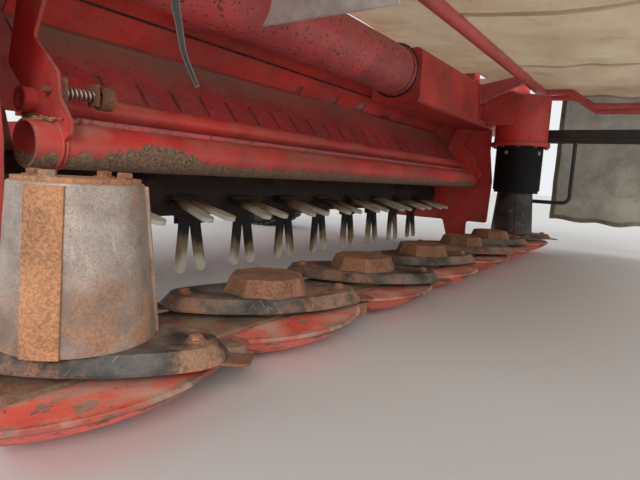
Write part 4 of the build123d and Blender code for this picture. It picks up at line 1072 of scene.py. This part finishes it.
def makeTyre(side, spec):
    centre = boxMiddle("tyre_" + side)
    section = list(spec["section"]) + [(r, -w) for r, w in reversed(spec["section"])]
    verts, faces, count = [], [], len(section)
    for k, angle in enumerate(angles(spec["steps"])):
        verts += [centre + Vector((w, r * math.cos(angle), r * math.sin(angle))) for r, w in section]
        after = (k + 1) % spec["steps"]
        for i in range(count):
            j = (i + 1) % count
            faces.append((k * count + i, k * count + j, after * count + j, after * count + i))
    mesh = newMesh("carcass_" + side, verts, faces)
    carcass = addPiece("carcass_" + side, mesh, "rubber", "wheel_" + side, "tyre_rubber", smooth=True)
    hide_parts("tyre_" + side)
    rows = []
    for ring, across in enumerate(spec["rings"]):
        for k in range(spec["blocks"]):
            angle = 2 * math.pi * (k + 0.5 * (ring % 2)) / spec["blocks"]
            outward = Vector((0, math.cos(angle), math.sin(angle)))
            rows.append((centre + Vector((across, 0, 0)) + spec["tread"] * outward, outward, 1.0))
    values = {"Finish": finishes["rubber"], "Block": spec["block"]}
    blocks = growMesh("tread_" + side, treadBlocks, rows, values)
    addPiece("tread_" + side, blocks, None, "wheel_" + side, "tyre_rubber")


for side in ("left", "right"):
    makeTyre(side, tyreSpec)
print("stage: tyres made")


# Small trim along the tubes, the hood and the guard

def aroundX(x, y, z, radius, angle):
    return Vector((x, y + radius * math.cos(angle), z + radius * math.sin(angle)))


def addStrip(name, line, size, finish, slot, closed=False):
    # a flat strip on edge along the line
    addSwept(name, [(line, flatOutline(*size), (0, 0, 1), closed)], finish, "frame", slot, smooth=False)


springSpec = {"ends": (-1.176, -1.118), "place": (0.250, 0.498), "coil": 0.0098, "wire": 0.0017,
              "turns": 6.5, "steps": 20}


def makeSpring(spec):
    steps = int(spec["turns"] * spec["steps"])
    points = []
    for k, x in enumerate(spread(*spec["ends"], steps)):
        angle = math.tau * spec["turns"] * k / steps
        points.append(aroundX(x, *spec["place"], spec["coil"], angle))
    coil = (points, roundOutline(spec["wire"]), (1, 0, 0))
    addSwept("latchSpring", [coil], "bright", "frame", "bright_steel")


hoodTrim = {
    # finish, slot, y and z, size, ends
    "hoodSeal": ("plastic", "black_plastic", (0.427, 0.7355), (0.008, 0.016), (-1.29, 0.98)),
    "hoodStrip": ("bright", "bright_steel", (0.4245, 0.7465), (0.003, 0.009), (-0.745, 0.452)),
}
hoodBend = 0.0012


def makeHoodSeal(spec):
    # rubber lip along the hood's front edge and the zinc strip that holds it
    for name, (finish, slot, (y, z), size, ends) in spec.items():
        points = []
        for x in spread(*ends, 59):
            bend = hoodBend * wave(x, 0, 0, 0.09, 21.0)
            points.append(Vector((x, y + bend, z + bend)))
        addStrip(name, points, size, finish, slot)


beltSpec = {"x": 1.517, "z": 0.672, "ends": (-0.72, 0.03), "size": (0.004, 0.078), "bend": 0.0025}


def makeGuardBelt(spec):
    # rubber belt bolted along the inner guard's upper tube
    points = []
    for y in spread(*spec["ends"], 39):
        points.append(Vector((spec["x"] + spec["bend"] * wave(0, y, 0, 0.3, 31.0), y, spec["z"])))
    addStrip("guardBelt", points, spec["size"], "plastic", "black_plastic")


strapSpec = {
    "points": ((-1.062, -0.036, 0.905), (-1.056, 0.030, 0.840), (-1.048, 0.085, 0.750),
               (-1.042, 0.10, 0.690), (-1.031, 0.10, 0.640), (-1.016, 0.10, 0.587), (-0.981, 0.10, 0.533)),
    "size": (0.026, 0.0022), "facing": (-0.8, -0.55, 0.15), "tip": 0.3,
    "beamRing": (0.213, 0.27, 0.816, 0.1055), "band": 0.0034, "bandShift": 0.004,
}


def makeStraps(spec):
    # an old strap that hangs from the cross tube, and a rubber band round the beam's end
    def taper(t):
        return 1 - (1 - spec["tip"]) * t

    strap = (smoothLine(spec["points"]), flatOutline(*spec["size"]), spec["facing"], False, taper)
    addSwept("oldStrap", [strap], "strap", "frame", "black_plastic", smooth=False)
    x, *axis, radius = spec["beamRing"]
    ring = [aroundX(x + spec["bandShift"] * math.sin(2 * a), *axis, radius, a) for a in angles(56)]
    band = (ring, roundOutline(spec["band"]), (1, 0, 0), True)
    addSwept("beamBand", [band], "plastic", "frame", "black_plastic")


weldSpec = {"size": 0.0036, "perMetre": 1500, "beads": 0.0008, "uneven": 0.0006}
# x, y, z, radius of each weld round a tube
weldRows = [(-1.200, 0.25, 0.398, 0.0445), (-1.192, 0.25, 0.398, 0.0445), (1.246, 0.25, 0.398, 0.0445),
            (-1.192, 0.27, 0.816, 0.097), (-1.300, 0.27, 0.816, 0.097)]


def makeWelds(spec):
    lines = []
    for x, y, z, radius in weldRows:
        points = []
        for k, angle in enumerate(angles(int(radius * spec["perMetre"]))):
            uneven = spec["uneven"] * wave(k * 0.4, x, z, 1.0, 4.0)
            out = radius + spec["beads"] * math.sin(k * 2.1) + uneven
            points.append(aroundX(x, y, z, out, angle))
        lines.append((points, roundOutline(spec["size"], 6), (1, 0, 0), True))
    addSwept("welds", lines, "frame", "frame", "red_paint")


ribSpec = {"ends": (-1.19, 1.245), "place": (0.259, 0.4475), "size": (0.004, 0.014)}


def makeTubeRib(spec):
    # a flat bar along the front tube's crest shuts the slit below the comb's tube
    points = [Vector((x, *spec["place"])) for x in spec["ends"]]
    addStrip("tubeRib", points, spec["size"], "beam", "red_paint")


lipSpec = {"radius": 0.1155, "below": 0.015, "size": (0.004, 0.028), "steps": 72}


def makeGuardLip(spec):
    # a rubber lip inside the drum guard's lower edge keeps the crop off the drum's top
    low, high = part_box("drum_guard")
    middle, radius = (low + high) / 2, spec["radius"]
    level = low.z - spec["below"] + spec["size"][1] / 2
    ring = [Vector((middle.x + radius * math.cos(a), middle.y + radius * math.sin(a), level))
            for a in angles(spec["steps"])]
    addStrip("guardLip", ring, spec["size"], "guard", "black_plastic", closed=True)


makeSpring(springSpec)
makeGuardLip(lipSpec)
makeTubeRib(ribSpec)
makeHoodSeal(hoodTrim)
makeGuardBelt(beltSpec)
makeStraps(strapSpec)
makeWelds(weldSpec)
print("stage: trim made")


# Chopped straw that caught on the tube, the latch and the hangers
strawSpec = {"length": (0.008, 0.022), "heaps": (
    # place, reach, count
    ((-1.205, 0.243, 0.444), (0.022, 0.016, 0.002), 90),
    ((-1.09, 0.252, 0.4435), (0.035, 0.008, 0.001), 60),
    ((-0.96, 0.252, 0.4435), (0.03, 0.008, 0.001), 30),
    ((-0.55, 0.252, 0.4435), (0.05, 0.008, 0.001), 30),
    ((-1.182, 0.250, 0.505), (0.008, 0.010, 0.008), 40),
    ((0.10, 0.252, 0.4435), (0.08, 0.008, 0.001), 30),
    ((0.70, 0.252, 0.4435), (0.06, 0.008, 0.001), 24))}


def makeStraw(spec):
    dice = random.Random(11)
    rows = []
    for centre, reach, count in spec["heaps"]:
        for k in range(count):
            place = [c + dice.gauss(0, r) * 0.6 for c, r in zip(centre, reach)]
            rows.append((place, (0, 0, 1), dice.uniform(*spec["length"])))
    mesh = growMesh("straw", straws, rows, {"Finish": finishes["straw"], "Seed": 5})
    addPiece("straw", mesh, None, "frame")


makeStraw(strawSpec)
print("stage: straw made")
